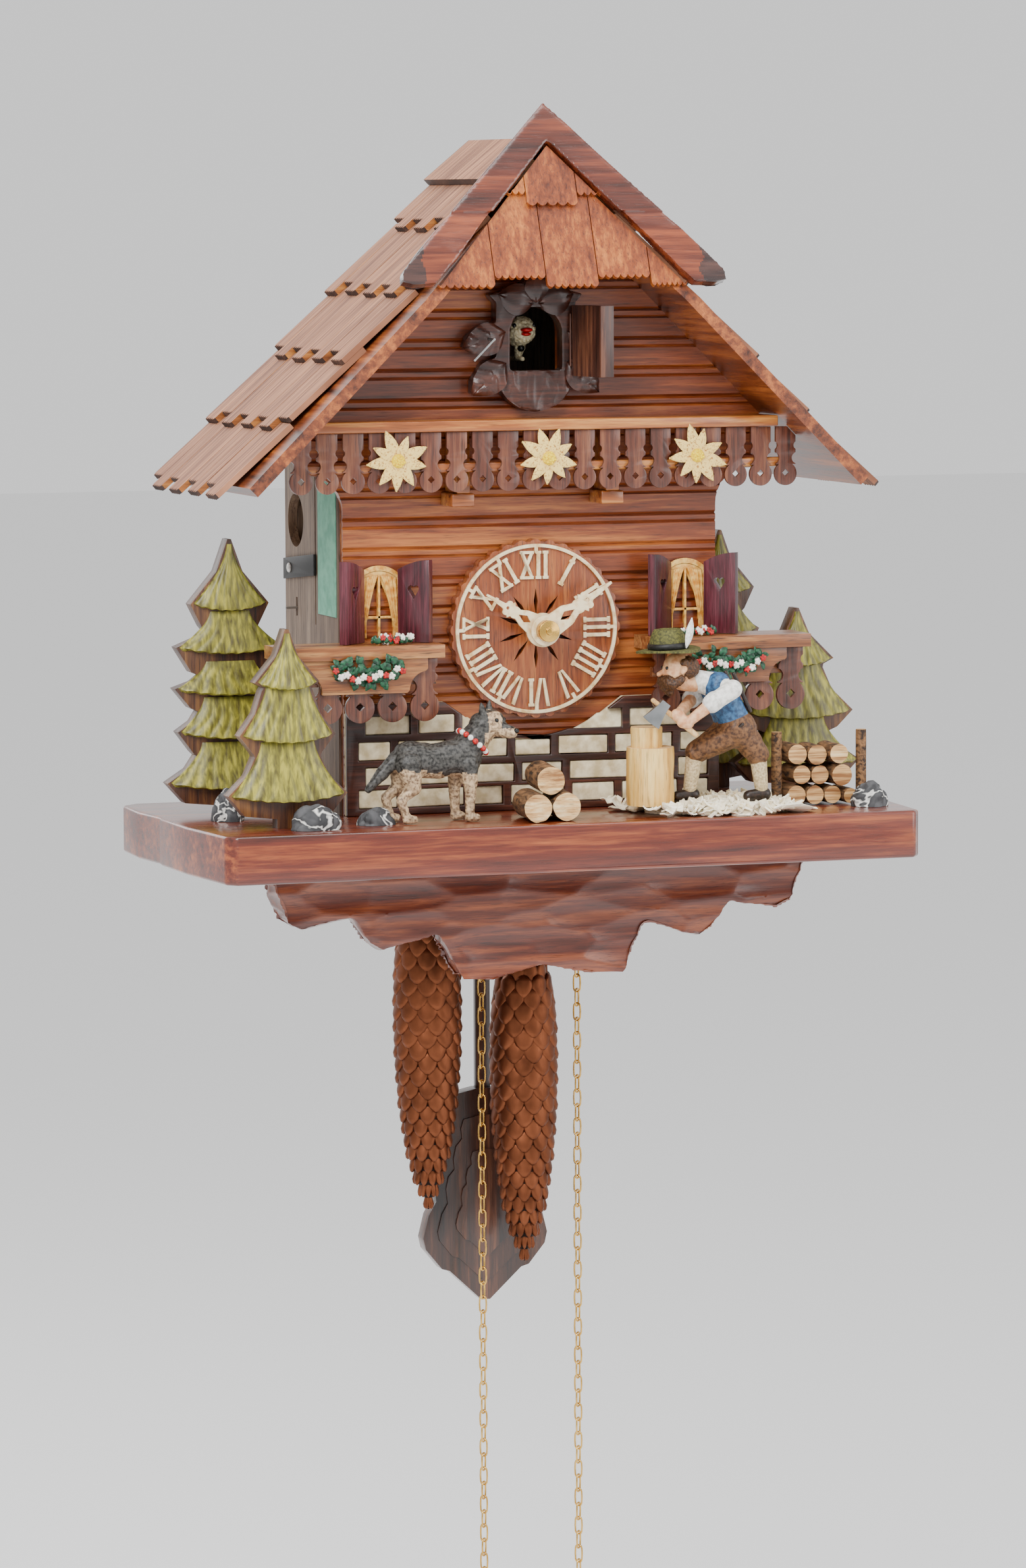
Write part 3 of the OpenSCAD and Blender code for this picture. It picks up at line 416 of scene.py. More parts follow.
tab_cut = shingle_tab("shingle_pattern", TAB, 44 * MM)
random.seed(5)
tab_places = []
for course in range(5):
    foot = course_pitch * (course + 1) + 6 * MM
    for count in range(8):
        deep = -111 * MM + (count + 0.5) * (111 / 8) * MM
        short = 5.5 * MM if (count + course) % 2 else 0
        pull = random.uniform(-0.5, 0.5) * MM
        slip = Matrix.Translation((-44 * MM - short + pull, 0, random.uniform(0, 0.12) * MM))
        tab_places.append(Matrix.Translation((foot, deep, 0)) @ Matrix.Rotation(-shingle_tilt, 4, "Y") @ slip
                          @ Matrix.Diagonal((1, 1.05, 1, 1)))
right_shingles = copies(tab_cut, tab_places, "shingles_right")
lift = board_thick + 0.2 * MM + 44 * MM * math.sin(shingle_tilt)
for vertex in right_shingles.data.vertices:
    vertex.co = on_right_slope(max(0.3 * MM, vertex.co.x), vertex.co.y, vertex.co.z + lift)
# the ridge cap's right board
cap = begin(bpy.ops.mesh.primitive_cube_add, size=1)
for vertex in cap.data.vertices:
    low = vertex.co.x > 0
    top = vertex.co.z > 0
    vertex.co = Vector(((20.6 if top else 18.4) * MM if low else 0, -98 * MM if vertex.co.y < 0 else 0,
                        roof_apex + (((-3.3 if top else -5.6) if low else (13.6 if top else 10.4)) * MM)))
right_shingles = merge([right_shingles, cap], "shingles_right")
# the half hip cuts the shingles off along its slope
take(right_shingles)
bpy.ops.object.mode_set(mode="EDIT")
bpy.ops.mesh.select_all(action="SELECT")
lean_back = math.radians(22.5)
bpy.ops.mesh.bisect(plane_co=(0, -124.8 * MM, 229.6 * MM),
                    plane_no=(0, -math.cos(lean_back), math.sin(lean_back)),
                    use_fill=True, clear_outer=True)
bpy.ops.mesh.select_all(action="SELECT")
bpy.ops.mesh.normals_make_consistent(inside=False)
bpy.ops.object.mode_set(mode="OBJECT")
for material in (shingle_face, dark_end_and_shade, sawn_side):
    right_shingles.data.materials.append(material)
down_slope = Vector((math.cos(RISE), 0, -math.sin(RISE)))
# faces pointing down the slope, the sawn ends, get the near-black tone of end grain and painted shade
for face in right_shingles.data.polygons:
    facing = face.normal.dot(down_slope)
    if facing > 0.6:
        face.material_index = 1
    elif abs(face.normal.y) > 0.75 and face.center.y > -110 * MM:
        face.material_index = 2
left_shingles = right_shingles.copy()
left_shingles.data = right_shingles.data.copy()
left_shingles.name = "shingles_left"
bpy.context.collection.objects.link(left_shingles)
left_shingles.data.transform(Matrix.Scale(-1, 4, (1, 0, 0)))
left_shingles.data.flip_normals()
for piece, node in ((right_shingles, "roof_shingles_right"), (left_shingles, "roof_shingles_left")):
    shown_as(piece, node)


# ---- Half hip: barge boards ----
# Two carved boards meet at a point over the door. Their faces are gouged flat, the lower ends are
# rounded with the knife and darkened, and the whole is varnished to a high gloss.

barge_wood = stained_wood("glossy_carved_barge", "#240D08", "#5C2413", "#944621", "x", 1.6, 0.24, 0.8, 0.1)
barges = blank_of("barge_boards", "barge_boards_carved")
whittle(barges, 0.8, 24, 1.6, (0.5, 1, 0.5), round_mm=1.6,
        where=lambda p, n: 1.0 if p.z < 0.262 else 0.3)
barges.data.materials.append(barge_wood)
barges.data.materials.append(stained_wood("darkened_carved_end", "#150B0A", "#2E1A17", "#54332A", "x", 1.6, 0.2,
                                          0.9, 0.1))
for face in barges.data.polygons:
    if abs(face.center.x) > (61 + 3 * noise.noise(face.center / (5 * MM))) * MM:
        face.material_index = 1
shown_as(barges, "barge_boards")
settle(barges, None, 50)


# ---- Half hip: shingles under the barge boards ----
# Five wide shingles and a short upper row, split and varnished orange brown, with wavy sawn feet.

gable_wood = stained_wood("varnished_gable_shingle", "#4A1A08", "#8C4216", "#C6742C", "z", 0.9, 0.34, 0.3, 0.25,
                          0.9)
hip_origin = Vector((0, -124.6 * MM, 229.6 * MM))


def gable_board(x0, x1, foot, lift, teeth):
    """One shingle between two x limits, cut by the barge boards above and by wavy teeth below."""
    steps = teeth * 6
    board = begin(bpy.ops.mesh.primitive_grid_add, x_subdivisions=steps, y_subdivisions=2, size=1)
    for vertex in board.data.vertices:
        share = vertex.co.x + 0.5
        across = x0 + (x1 - x0) * share
        roof = 63.0 * (1 - abs(across) / 54.8)
        wave = 1.5 * abs(math.sin(share * teeth * math.pi)) ** 0.7
        low = foot + 1.2 - wave
        height = {-1: low, 0: (low + max(roof, low + 0.4)) / 2, 1: max(roof, low + 0.4)}[round(vertex.co.y * 2)]
        vertex.co = Vector((across * MM, height * MM, lift * MM))
    thicken(board, 2, 1.0)
    board.data.transform(Matrix.Rotation(math.radians(90) - lean_back, 4, "X"))
    board.data.transform(Matrix.Translation(hip_origin))
    return board


boards = [gable_board(a + 0.2, b - 0.2, foot, 0, 7) for a, b, foot in
          ((-54.6, -29.6, 1), (-29.6, -7.2, 5), (-7.2, 15.6, 1), (15.6, 38.6, 5), (38.6, 54.6, 1.4))]
boards += [gable_board(a + 0.2, b - 0.2, foot, 2.05, 5) for a, b, foot in
           ((-26, -12, 41.5), (-12, 10.5, 36.5), (10.5, 26, 41))]
gable = merge(boards, "gable_shingles_cut")
shown_as(gable, "gable_shingles")
settle(gable, gable_wood, 25)


# ---- Balcony ----
# A planed beam on two stepped brackets. Twenty sawn slats hang from it, each with notched sides,
# a round foot and a diamond hole, and shorter panels of the same slats hang under the windows.

beam_wood = stained_wood("amber_varnished_beam", "#4A2210", "#9C5524", "#DB9A4C", "x", 1.4, 0.28, 0.45, 0.15,
                         1.1)
planed("balcony_beam", "balcony_beam_planed", beam_wood, 0.6)

slat_wood = stained_wood("stained_sawn_slats", "#2C150D", "#5E3020", "#8A5436", "z", 0.8, 0.34, 0.3, 0.25, 0.9)
planed("fretwork_slats", "fretwork_slats_sawn", slat_wood, 0.3)


# ---- Edelweiss ----
# Three moulded flowers glued to the slats: nine uneven pointed petals with a crease down the
# middle, round a centre of small yellow buttons.

def mottled(name, tones, spot_mm, gloss, relief=None, settings=None, stretch=(1, 1, 1), detail=3.0,
            wander=0.0, veined=False):
    """A finish in soft patches: (share, colour) tones, roughness limits, relief's strength and depth in mm."""
    material, shader = finish(name, settings or {"IOR": 1.47})
    coords = put(material, "ShaderNodeTexCoord")
    drawn = put(material, "ShaderNodeMapping", {"Scale": stretch}, {"Vector": coords.outputs["Object"]})
    spots = put(material, "ShaderNodeTexNoise",
                {"Scale": 1 / (spot_mm * MM), "Detail": detail, "Distortion": wander},
                {"Vector": drawn.outputs["Vector"]})
    share = spots.outputs["Fac"]
    if veined:  # the tones follow the distance from the noise's middle, which draws thin lines
        share = put(material, "ShaderNodeMath", {"operation": "SUBTRACT", 1: 0.5}, {0: share}).outputs["Value"]
        share = put(material, "ShaderNodeMath", {"operation": "ABSOLUTE"}, {0: share}).outputs["Value"]
    ramp = put(material, "ShaderNodeValToRGB", None, {"Fac": share})
    ends = ramp.color_ramp.elements
    for element, (place, colour) in ((ends[0], tones[0]), (ends[1], tones[-1])):
        element.position = place
        element.color = linear(colour)
    for place, colour in tones[1:-1]:
        ends.new(place).color = linear(colour)
    join_up(material, ramp.outputs["Color"], shader, "Base Color")
    if gloss:
        join_up(material, put(material, "ShaderNodeMapRange", {"To Min": gloss[0], "To Max": gloss[1]},
                              {"Value": spots.outputs["Fac"]}).outputs["Result"], shader, "Roughness")
    if relief:
        bump = put(material, "ShaderNodeBump", {"Strength": relief[0], "Distance": relief[1] * MM},
                   {"Height": spots.outputs["Fac"]})
        join_up(material, bump.outputs["Normal"], shader, "Normal")
    return material


def enamel(name, low, high, roughness, patch_mm=1.6):
    """Hand-laid paint: two close tones in soft patches, with brushed unevenness."""
    return mottled(name, ((0.36, low), (0.62, high)), patch_mm, (roughness - 0.06, roughness + 0.12),
                   (0.25, 0.2))


def placed(x, y, z, turn_x=0, turn_y=0, turn_z=0, size=1.0):
    """A matrix from a place in millimetres and turns in degrees."""
    turn = Euler((math.radians(turn_x), math.radians(turn_y), math.radians(turn_z))).to_matrix().to_4x4()
    return Matrix.Translation((x * MM, y * MM, z * MM)) @ turn @ Matrix.Scale(size, 4)


def leaf_pattern(name, length, half_width, cup, thick, material, widest=0.45, rows=4, columns=10):
    """A pointed leaf or petal along +X, creased down the middle, facing -Y."""
    leaf = begin(bpy.ops.mesh.primitive_grid_add, x_subdivisions=columns, y_subdivisions=rows, size=1)
    leaf.name = name
    for vertex in leaf.data.vertices:
        along = vertex.co.x + 0.5
        side = vertex.co.y * 2
        if along < widest:
            width = math.sin(along / widest * math.pi / 2) ** 0.7
        else:
            width = math.cos((along - widest) / (1 - widest) * math.pi / 2) ** 0.8
        width = half_width * max(width, 0.03)
        rise = cup * (math.sin(along * math.pi) - 0.8 * abs(side) ** 1.5 + (0.0 if abs(side) > 0.1 else -0.35))
        vertex.co = Vector((along * length, -rise, side * width)) * MM
    thicken(leaf, thick)
    face_outwards(leaf)
    leaf.data.materials.append(material)
    return leaf


# ivory plastic with thin brown lines wiped into its creases
petal_plastic = mottled("ivory_petal", ((0.34, "#A87434"), (0.47, "#F2D07A")), 0.9, None, (0.3, 0.15),
                        {"Roughness": 0.46, "IOR": 1.46}, wander=0.8)
button_paint = enamel("yellow_flower_centre", "#E2B400", "#FBE014", 0.4, 0.8)
golden_turn = math.pi * (3 - math.sqrt(5))
random.seed(11)
petal = leaf_pattern("petal_pattern", 13.4, 2.6, 0.9, 0.8, petal_plastic, 0.42)
petal_places = []
button_places = []
for x in (-66, 0, 66):
    for count in range(9):
        turn = count * 40 + random.uniform(-5, 5) + 12
        size = random.uniform(0.82, 1.06)
        petal_places.append(placed(x, -105.4 - 0.5 * (count % 2), 159.5, turn_y=turn, size=size))
    for count in range(14):
        spot = golden_turn * count
        out = 0.72 * math.sqrt(count)
        button_places.append(placed(x + out * math.cos(spot), -107.6 + 0.12 * out * out,
                                    159.5 + out * math.sin(spot)))
petals = copies(petal, petal_places, "edelweiss_petals")
button = begin(bpy.ops.mesh.primitive_ico_sphere_add, subdivisions=2, radius=0.62 * MM)
button.data.materials.append(button_paint)
buttons = copies(button, button_places, "edelweiss_buttons")
seat = begin(bpy.ops.mesh.primitive_uv_sphere_add, segments=20, ring_count=10, radius=2.9 * MM)
seat.data.transform(Matrix.Diagonal((1, 0.5, 1, 1)))
seat.data.materials.append(button_paint)
seats = copies(seat, [placed(x, -106.2, 159.5) for x in (-66, 0, 66)], "edelweiss_seats")
flowers = merge([petals, buttons, seats], "edelweiss_flowers_moulded")
shown_as(flowers, "edelweiss_flowers")
settle(flowers, None, 40)


# ---- Windows ----
# Each window is a brown arched frame round a yellow sash with a cross of bars; fluted yellow
# curtains are tied back to both sides and the log wall shows between them.

window_x = 68.2
sash_paint = enamel("yellow_sash_paint", "#C9862F", "#EBC069", 0.42, 2.2)
frame_wood = stained_wood("brown_window_frame", "#2E140C", "#5E2C17", "#8F5230", "z", 0.8, 0.35, 0.3, 0.2)
sashes = blank_of("windows", "window_frames")
sashes.data.materials.append(sash_paint)
sashes.data.materials.append(frame_wood)
for face in sashes.data.polygons:
    across = abs(abs(face.center.x) - window_x * MM)
    arch = 114.4 * MM - (across / (9.4 * MM)) ** 2 * 4 * MM
    if across > 8.3 * MM or face.center.z > arch - 2.6 * MM or face.center.z < 83.5 * MM:
        face.material_index = 1
soften(sashes, 0.25)


def curtain_half(name):
    """Half a curtain: a fluted cloth, full at the top corner and drawn out to the frame below."""
    cloth = begin(bpy.ops.mesh.primitive_grid_add, x_subdivisions=30, y_subdivisions=12, size=1)
    cloth.name = name
    for vertex in cloth.data.vertices:
        up = vertex.co.y + 0.5
        share = vertex.co.x + 0.5
        inner = 0.5 + 6.6 * (1 - up) ** 0.8 if up > 0.28 else 5.9
        outer = 8.4
        x = inner + (outer - inner) * share
        fold = math.sin(share * math.pi * 8) * (0.4 if up > 0.28 else 0.25)
        vertex.co = Vector((x, -0.9 - fold, 84.8 + 26.2 * up - 1.4 * share * up)) * MM
    thicken(cloth, 0.5)
    face_outwards(cloth)
    cloth.data.materials.append(sash_paint)
    return cloth


half = curtain_half("curtain_half")
flip = Matrix.Scale(-1, 4, (1, 0, 0))
mirror_half = half.copy()
mirror_half.data = half.data.copy()
mirror_half.data.transform(flip)
mirror_half.data.flip_normals()
bpy.context.collection.objects.link(mirror_half)
right_halves = copies(half, [placed(s * window_x, -84.6, 0) for s in (-1, 1)], "curtains_right")
left_halves = copies(mirror_half, [placed(s * window_x, -84.6, 0) for s in (-1, 1)], "curtains_left")
bars = []
for side in (-1, 1):
    for wide, tall, z in ((0.9, 27, 97.6), (16, 0.9, 93.4)):
        bar = begin(bpy.ops.mesh.primitive_cube_add, size=1)
        bar.data.transform(placed(side * window_x, -84.5, z)
                           @ Matrix.Diagonal((wide * MM, 1.2 * MM, tall * MM, 1)))
        bar.data.materials.append(sash_paint)
        bars.append(bar)
windows = merge([sashes, right_halves, left_halves] + bars, "windows_with_curtains")
shown_as(windows, "windows")
settle(windows, None, 40)

shutter_paint = stained_wood("plum_painted_shutter", "#2A0D14", "#501A24", "#743440", "z", 0.7, 0.34, 0.3, 0.25,
                             1.2)
planed("shutters", "shutters_painted", shutter_paint, 0.5, 3)


# ---- Window ledges, flowers on the sills and garlands ----
# A thick oak ledge with a shaped apron under each window. Small painted blossoms crowd the sill and
# a garland of leaves and blossoms hangs on the apron.

oak = stained_wood("varnished_oak_ledge", "#4E2813", "#8C5228", "#C08A50", "x", 1.1, 0.32, 0.3, 0.35, 1.1)
planed("window_ledges", "window_ledges_planed", oak, 0.5, 3)

leaf_green = enamel("dark_green_leaf_paint", "#0C2A1C", "#1F5A3A", 0.4, 1.4)
blossom_white = enamel("white_blossom_paint", "#D8CFC0", "#FBF7EC", 0.45, 1.0)
blossom_red = enamel("red_blossom_paint", "#7A0C10", "#C8201E", 0.4, 1.0)
random.seed(23)
green = leaf_pattern("leaf_pattern", 4.4, 1.5, 0.7, 0.4, leaf_green, rows=4, columns=6)
leaf_places = []
for side in (-1, 1):
    for count in range(70):
        across = random.uniform(-15, 15)
        sag = 9.5 * math.sqrt(max(0.05, 1 - (across / 17) ** 2))
        height = random.uniform(76.2 - sag, 76.6)
        leaf_places.append(placed(side * 80 + across, -106.8 - random.uniform(0, 1.6), height,
                                  turn_x=random.uniform(-25, 25), turn_y=random.uniform(0, 360),
                                  turn_z=random.uniform(-25, 25), size=random.uniform(0.8, 1.15)))
    for count in range(26):
        leaf_places.append(placed(side * 68 + random.uniform(-8.5, 8.5), -100 + random.uniform(-4.5, 4.5), 83.6,
                                  turn_x=random.uniform(-50, 20), turn_y=random.uniform(-150, -30),
                                  size=random.uniform(0.6, 0.85)))
leaves = copies(green, leaf_places, "garland_leaves")


def blossom_pattern(name, material, radius):
    """A little five-petalled blossom facing -Y, cut from a flattened ball."""
    ball = begin(bpy.ops.mesh.primitive_uv_sphere_add, segments=20, ring_count=8, radius=1)
    ball.name = name
    for vertex in ball.data.vertices:
        turn = math.atan2(vertex.co.y, vertex.co.x)
        out = 1 - 0.34 * (1 - abs(math.cos(2.5 * turn))) ** 1.2
        dip = 0.25 * math.exp(-(vertex.co.x ** 2 + vertex.co.y ** 2) * 8)
        vertex.co = Vector((vertex.co.x * out * radius, -(vertex.co.z * 0.45 - dip) * radius,
                            vertex.co.y * out * radius)) * MM
    face_outwards(ball)
    ball.data.materials.append(material)
    return ball


white_places = []
red_places = []
for side in (-1, 1):
    for count in range(13):
        across = -14.5 + count * 29 / 12
        sag = 8.4 * math.sqrt(max(0.0, 1 - (across / 16) ** 2))
        place = placed(side * 80 + across, -109.0, 76 - sag * random.uniform(0.45, 1.0),
                       turn_x=random.uniform(-20, 20), turn_y=random.uniform(0, 70),
                       turn_z=random.uniform(-15, 15))
        (white_places if count % 3 else red_places).append(place)
    for count in range(16):
        place = placed(side * 68 + random.uniform(-8.5, 8.5), -101 + random.uniform(-4.6, 3),
                       random.uniform(84.4, 86.6),
                       turn_x=random.uniform(-50, 10), turn_y=random.uniform(0, 70), size=0.9)
        (white_places if count % 2 else red_places).append(place)
whites = copies(blossom_pattern("white_blossom", blossom_white, 1.75), white_places, "white_blossoms")
reds = copies(blossom_pattern("red_blossom", blossom_red, 1.6), red_places, "red_blossoms")
garlands = merge([leaves, whites, reds], "garlands_and_sill_flowers")
shown_as(garlands, "flower_garlands")
settle(garlands, None, 40)


# ---- Stone front ----
# Cream painted stones of uneven height in four courses show through a fretwork of dark wood.

walnut = stained_wood("dark_walnut_fretwork", "#1B0D09", "#38190F", "#5E3020", "x", 0.9, 0.36, 0.3, 0.2)
planed("stone_lattice", "stone_lattice_sawn", walnut, 0.4)

stone_paint = enamel("cream_stone_paint", "#C2AE84", "#EBDDBA", 0.6, 5.0)
stone_back = blank_of("stone_panels", "stone_back", 0)
stone_blocks = []
random.seed(47)
for course, (foot, widths) in enumerate(((13, (17, 26, 14, 24, 19, 25, 20)),
                                         (22.4, (12, 22, 25, 18, 27, 15, 23)),
                                         (33.2, (14, 21, 24, 16, 22, 26, 18)),
                                         (44, (20, 16, 28, 40, 28, 16, 20)))):
    left = -78 + (course % 2) * 3
    for width in widths:
        right = min(left + width, 78)
        near_dial = math.hypot(max(0, max(left, -right)), 87 - foot - 8) < 47 and foot > 30
        tall = 6.3 if near_dial else 7.4
        if left < 72 and not (near_dial and foot > 40):
            proud = random.uniform(-0.3, 0.9)
            stone = begin(bpy.ops.mesh.primitive_cube_add, size=1)
            stone.data.transform(placed((left + right) / 2, -84.6 - proud / 2, foot + 0.3 + tall / 2,
                                        random.uniform(-4, 4),
                                        random.uniform(-0.8, 0.8), random.uniform(-2, 2))
                                 @ Matrix.Diagonal(((right - left - 0.5) * MM, (2.4 + proud) * MM, tall * MM,
                                                    1)))
            stone_blocks.append(stone)
        left += width + 3.4
stones = merge(stone_blocks, "stone_blocks")
soften(stones, 0.5, 3)
settle(stones, stone_paint)
stones = merge([stones, stone_back], "stone_panels_uneven")
shown_as(stones, "stone_panels")
settle(stones, stone_paint, 40)


# ---- Dial and hands ----
# A veneered wooden dial with a scalloped edge and star-like slots; ring, hollow Roman numerals and
# pierced hands are moulded in ivory plastic. A brass nut holds the minute hand.

veneer = stained_wood("dial_veneer", "#542410", "#8A451F", "#B06C38", "z", 0.6, 0.3, 0.35, 0.35, 0.8)
planed("dial", "dial_veneered", veneer, 0.5, 3, 40)


# moulded ivory plastic, wiped brown in places and slightly uneven
ivory = mottled("moulded_ivory", ((0.3, "#CDA871"), (0.56, "#F0DDB4")), 3.5, (0.28, 0.48), None,
                {"IOR": 1.49, "Subsurface Weight": 0.1, "Subsurface Scale": 0.6 * MM}, detail=4.0)
for node, body, width in (("dial_numerals", "case", 0.3), ("minute_hand", "minute_hand", 0.35),
                          ("hour_hand", "hour_hand", 0.35)):
    planed(node, node + "_moulded", ivory, width, 3, 40, body=body, flat=0)


def metal(name, low, high, roughness, scratch="y", scale_mm=0.5):
    """Bare metal with fine drawn marks and slightly dulled patches."""
    material, shader = finish(name, {"Metallic": 1.0})
    coords = put(material, "ShaderNodeTexCoord")
    stretch = {"x": (0.05, 1, 1), "y": (1, 0.05, 1), "z": (1, 1, 0.05)}[scratch]
    drawn = put(material, "ShaderNodeMapping", {"Scale": stretch}, {"Vector": coords.outputs["Object"]})
    marks = put(material, "ShaderNodeTexNoise", {"Scale": 1 / (scale_mm * MM), "Detail": 3.0},
                {"Vector": drawn.outputs["Vector"]})
    dull = put(material, "ShaderNodeTexNoise", {"Scale": 1 / (9 * MM), "Detail": 2.0},
               {"Vector": coords.outputs["Object"]})
    tint = put(material, "ShaderNodeMix", {"data_type": "RGBA", 6: linear(low), 7: linear(high)},
               {0: dull.outputs["Fac"]})
    join_up(material, tint.outputs[2], shader, "Base Color")
    join_up(material, put(material, "ShaderNodeMapRange",
                          {"To Min": roughness - 0.08, "To Max": roughness + 0.12},
                          {"Value": marks.outputs["Fac"]}).outputs["Result"], shader, "Roughness")
    bump = put(material, "ShaderNodeBump", {"Strength": 0.15, "Distance": 0.05 * MM},
               {"Height": marks.outputs["Fac"]})
    join_up(material, bump.outputs["Normal"], shader, "Normal")
    return material


brass = metal("polished_brass", "#B98A3C", "#E6BE6A", 0.24)
steel = metal("drawn_steel", "#8C8C8A", "#C4C4C2", 0.3)
planed("centre_arbor", "centre_arbor_turned", brass, 0.3, 2, 40, body="minute_hand")


# ---- Trees ----
# Each tree is a flat board sawn to its outline, faced with overlapping carved skirts. The skirts
# swell to the front, are grooved like hanging branches and painted a thin olive green.

# thin olive paint over lime wood, yellow on the ridges
branch_paint = mottled("olive_stained_branches", ((0.32, "#4A4210"), (0.5, "#757022"), (0.66, "#A39A34")), 1.7,
                       (0.35, 0.58), (0.4, 0.3), {"IOR": 1.47, "Coat Weight": 0.2, "Coat Roughness": 0.3},
                       (1, 1, 0.16), 4.0, 0.3)
bark_wood = stained_wood("brown_sawn_tree_side", "#22100A", "#4C2A14", "#7A5024", "z", 0.9, 0.42, 0.15, 0.25)


def skirt(x, y, neck, tip, top_z, tip_z, swell, seed):
    """One carved skirt of a tree, from a narrow neck down to a wide wavy hem; y is the board's middle."""
    cloth = begin(bpy.ops.mesh.primitive_grid_add, x_subdivisions=56, y_subdivisions=14, size=2)
    for vertex in cloth.data.vertices:
        side = vertex.co.x
        down = (1 - vertex.co.y) / 2
        half = neck + (tip - neck) * down ** 1.6
        groove = abs(math.sin((side * 4.6 + seed * 0.37
                               + 0.35 * math.sin(down * 5 + seed)) * math.pi / 2 * 1.6))
        hem = 0.5 * groove * down ** 2 - 2.8 * down * (1 - side * side)
        depth = swell * math.sqrt(max(0.0, 1 - side * side)) * (0.25 + 0.75 * down) + 0.45 * groove * down
        z = top_z + (tip_z - top_z) * down + hem
        vertex.co = Vector((x + side * half * (1 - 0.02 * groove), y - 3.6 - depth, z)) * MM
    thicken(cloth, 2.2, 1.0 if cloth.data.polygons[0].normal.y > 0 else -1.0)
    face_outwards(cloth)
    cloth.data.materials.append(branch_paint)
    return cloth


boards = blank_of("spruces", "tree_boards")
boards.data.materials.append(bark_wood)
soften(boards, 0.8)
trees = [boards]
# each tree: place, then its skirts as hem half width, hem height, neck half width and neck height
for tree_x, tree_y, tiers in ((-126, -56, ((26.6, 14, 13, 31), (22, 35.4, 12, 50), (23.2, 53.7, 11, 65),
                                           (22.4, 71, 9, 86), (16, 89, 1.2, 114))),
                              (-119, -117, ((24.5, 14, 12, 36), (19.5, 38.5, 9, 62), (12.8, 60.3, 1.2, 80.5))),
                              (129, -56, ((28, 14, 13, 33), (25, 35.5, 10, 60), (16, 58.3, 1.2, 79))),
                              (106, -22, ((19, 14, 10, 31), (18, 35.4, 10, 50), (18, 52, 9, 64),
                                          (17.5, 69.7, 8, 84), (15, 87.8, 1.2, 111)))):
    for level, (tip, tip_z, neck, neck_z) in enumerate(tiers):
        trees.append(skirt(tree_x, tree_y, neck, tip, neck_z + 10, tip_z + 10, 6.4 - 0.6 * level,
                           level * 3 + tree_x))
forest = merge(trees, "spruces_carved")
shown_as(forest, "spruces")
settle(forest, None, 45)


# ---- Rocks ----
# Dark plastic boulders with white dry-brushed edges.

# dark grey paint with white brushed over its edges in broken veins
rock_paint = mottled("dry_brushed_rock", ((0.006, "#D8D6D0"), (0.03, "#2B2C2E"), (0.12, "#4B4B4D")), 11,
                     (0.42, 0.75),
                     (0.5, 0.5), {"IOR": 1.46}, wander=0.8, veined=True)
boulders = []
for x, y, long, wide, high, seed in ((-134, -83, 15, 13, 15, 1), (-110, -130, 23, 12.5, 11.5, 2),
                                     (-81, -120, 17, 11.5, 7.6, 3), (138, -121.4, 17, 14, 11.4, 4)):
    boulder = begin(bpy.ops.mesh.primitive_ico_sphere_add, subdivisions=4, radius=1)
    for vertex in boulder.data.vertices:
        point = vertex.co.copy()
        cell = noise.voronoi(point * 1.15 + Vector((seed * 7, 0, 0)))[0]
        facet = 0.86 + 0.34 * (cell[1] - cell[0]) + 0.05 * noise.noise(point * 5)
        vertex.co = Vector((x + point.x * long / 2 * min(1, facet), y + point.y * wide / 2 * min(1, facet),
                            10.1 + max(0.0, point.z * 0.98 * min(1, facet)) * high)) * MM
    boulder.data.materials.append(rock_paint)
    boulders.append(boulder)
rocks = merge(boulders, "rocks_moulded")
shown_as(rocks, "rocks")
settle(rocks, None, 30)


# ---- Firewood, chopping block and chips ----
# Logs in their bark with pale sawn ends: three on the deck and ten in a pile between two posts. The
# chopping block is a yellow trunk with a short log on it, set in a bed of pale shavings.

# rough brown bark, furrowed along the log
bark = mottled("rough_log_bark", ((0.36, "#2A1B12"), (0.64, "#8B6440")), 1.8, (0.6, 0.9), (0.8, 0.6),
               {"IOR": 1.45},
               (1, 0.25, 1), 5.0, 0.6)
sawn_face = stained_wood("pale_sawn_log_end", "#8A5A2E", "#D2A56A", "#F0D7A6", "x", 0.75, 0.55, 0.0, 0.2, 1.3)
yellow_wood = stained_wood("yellow_peeled_trunk", "#B0782A", "#E0B05A", "#F6D488", "z", 1.2, 0.45, 0.1, 0.2,
                           1.1)


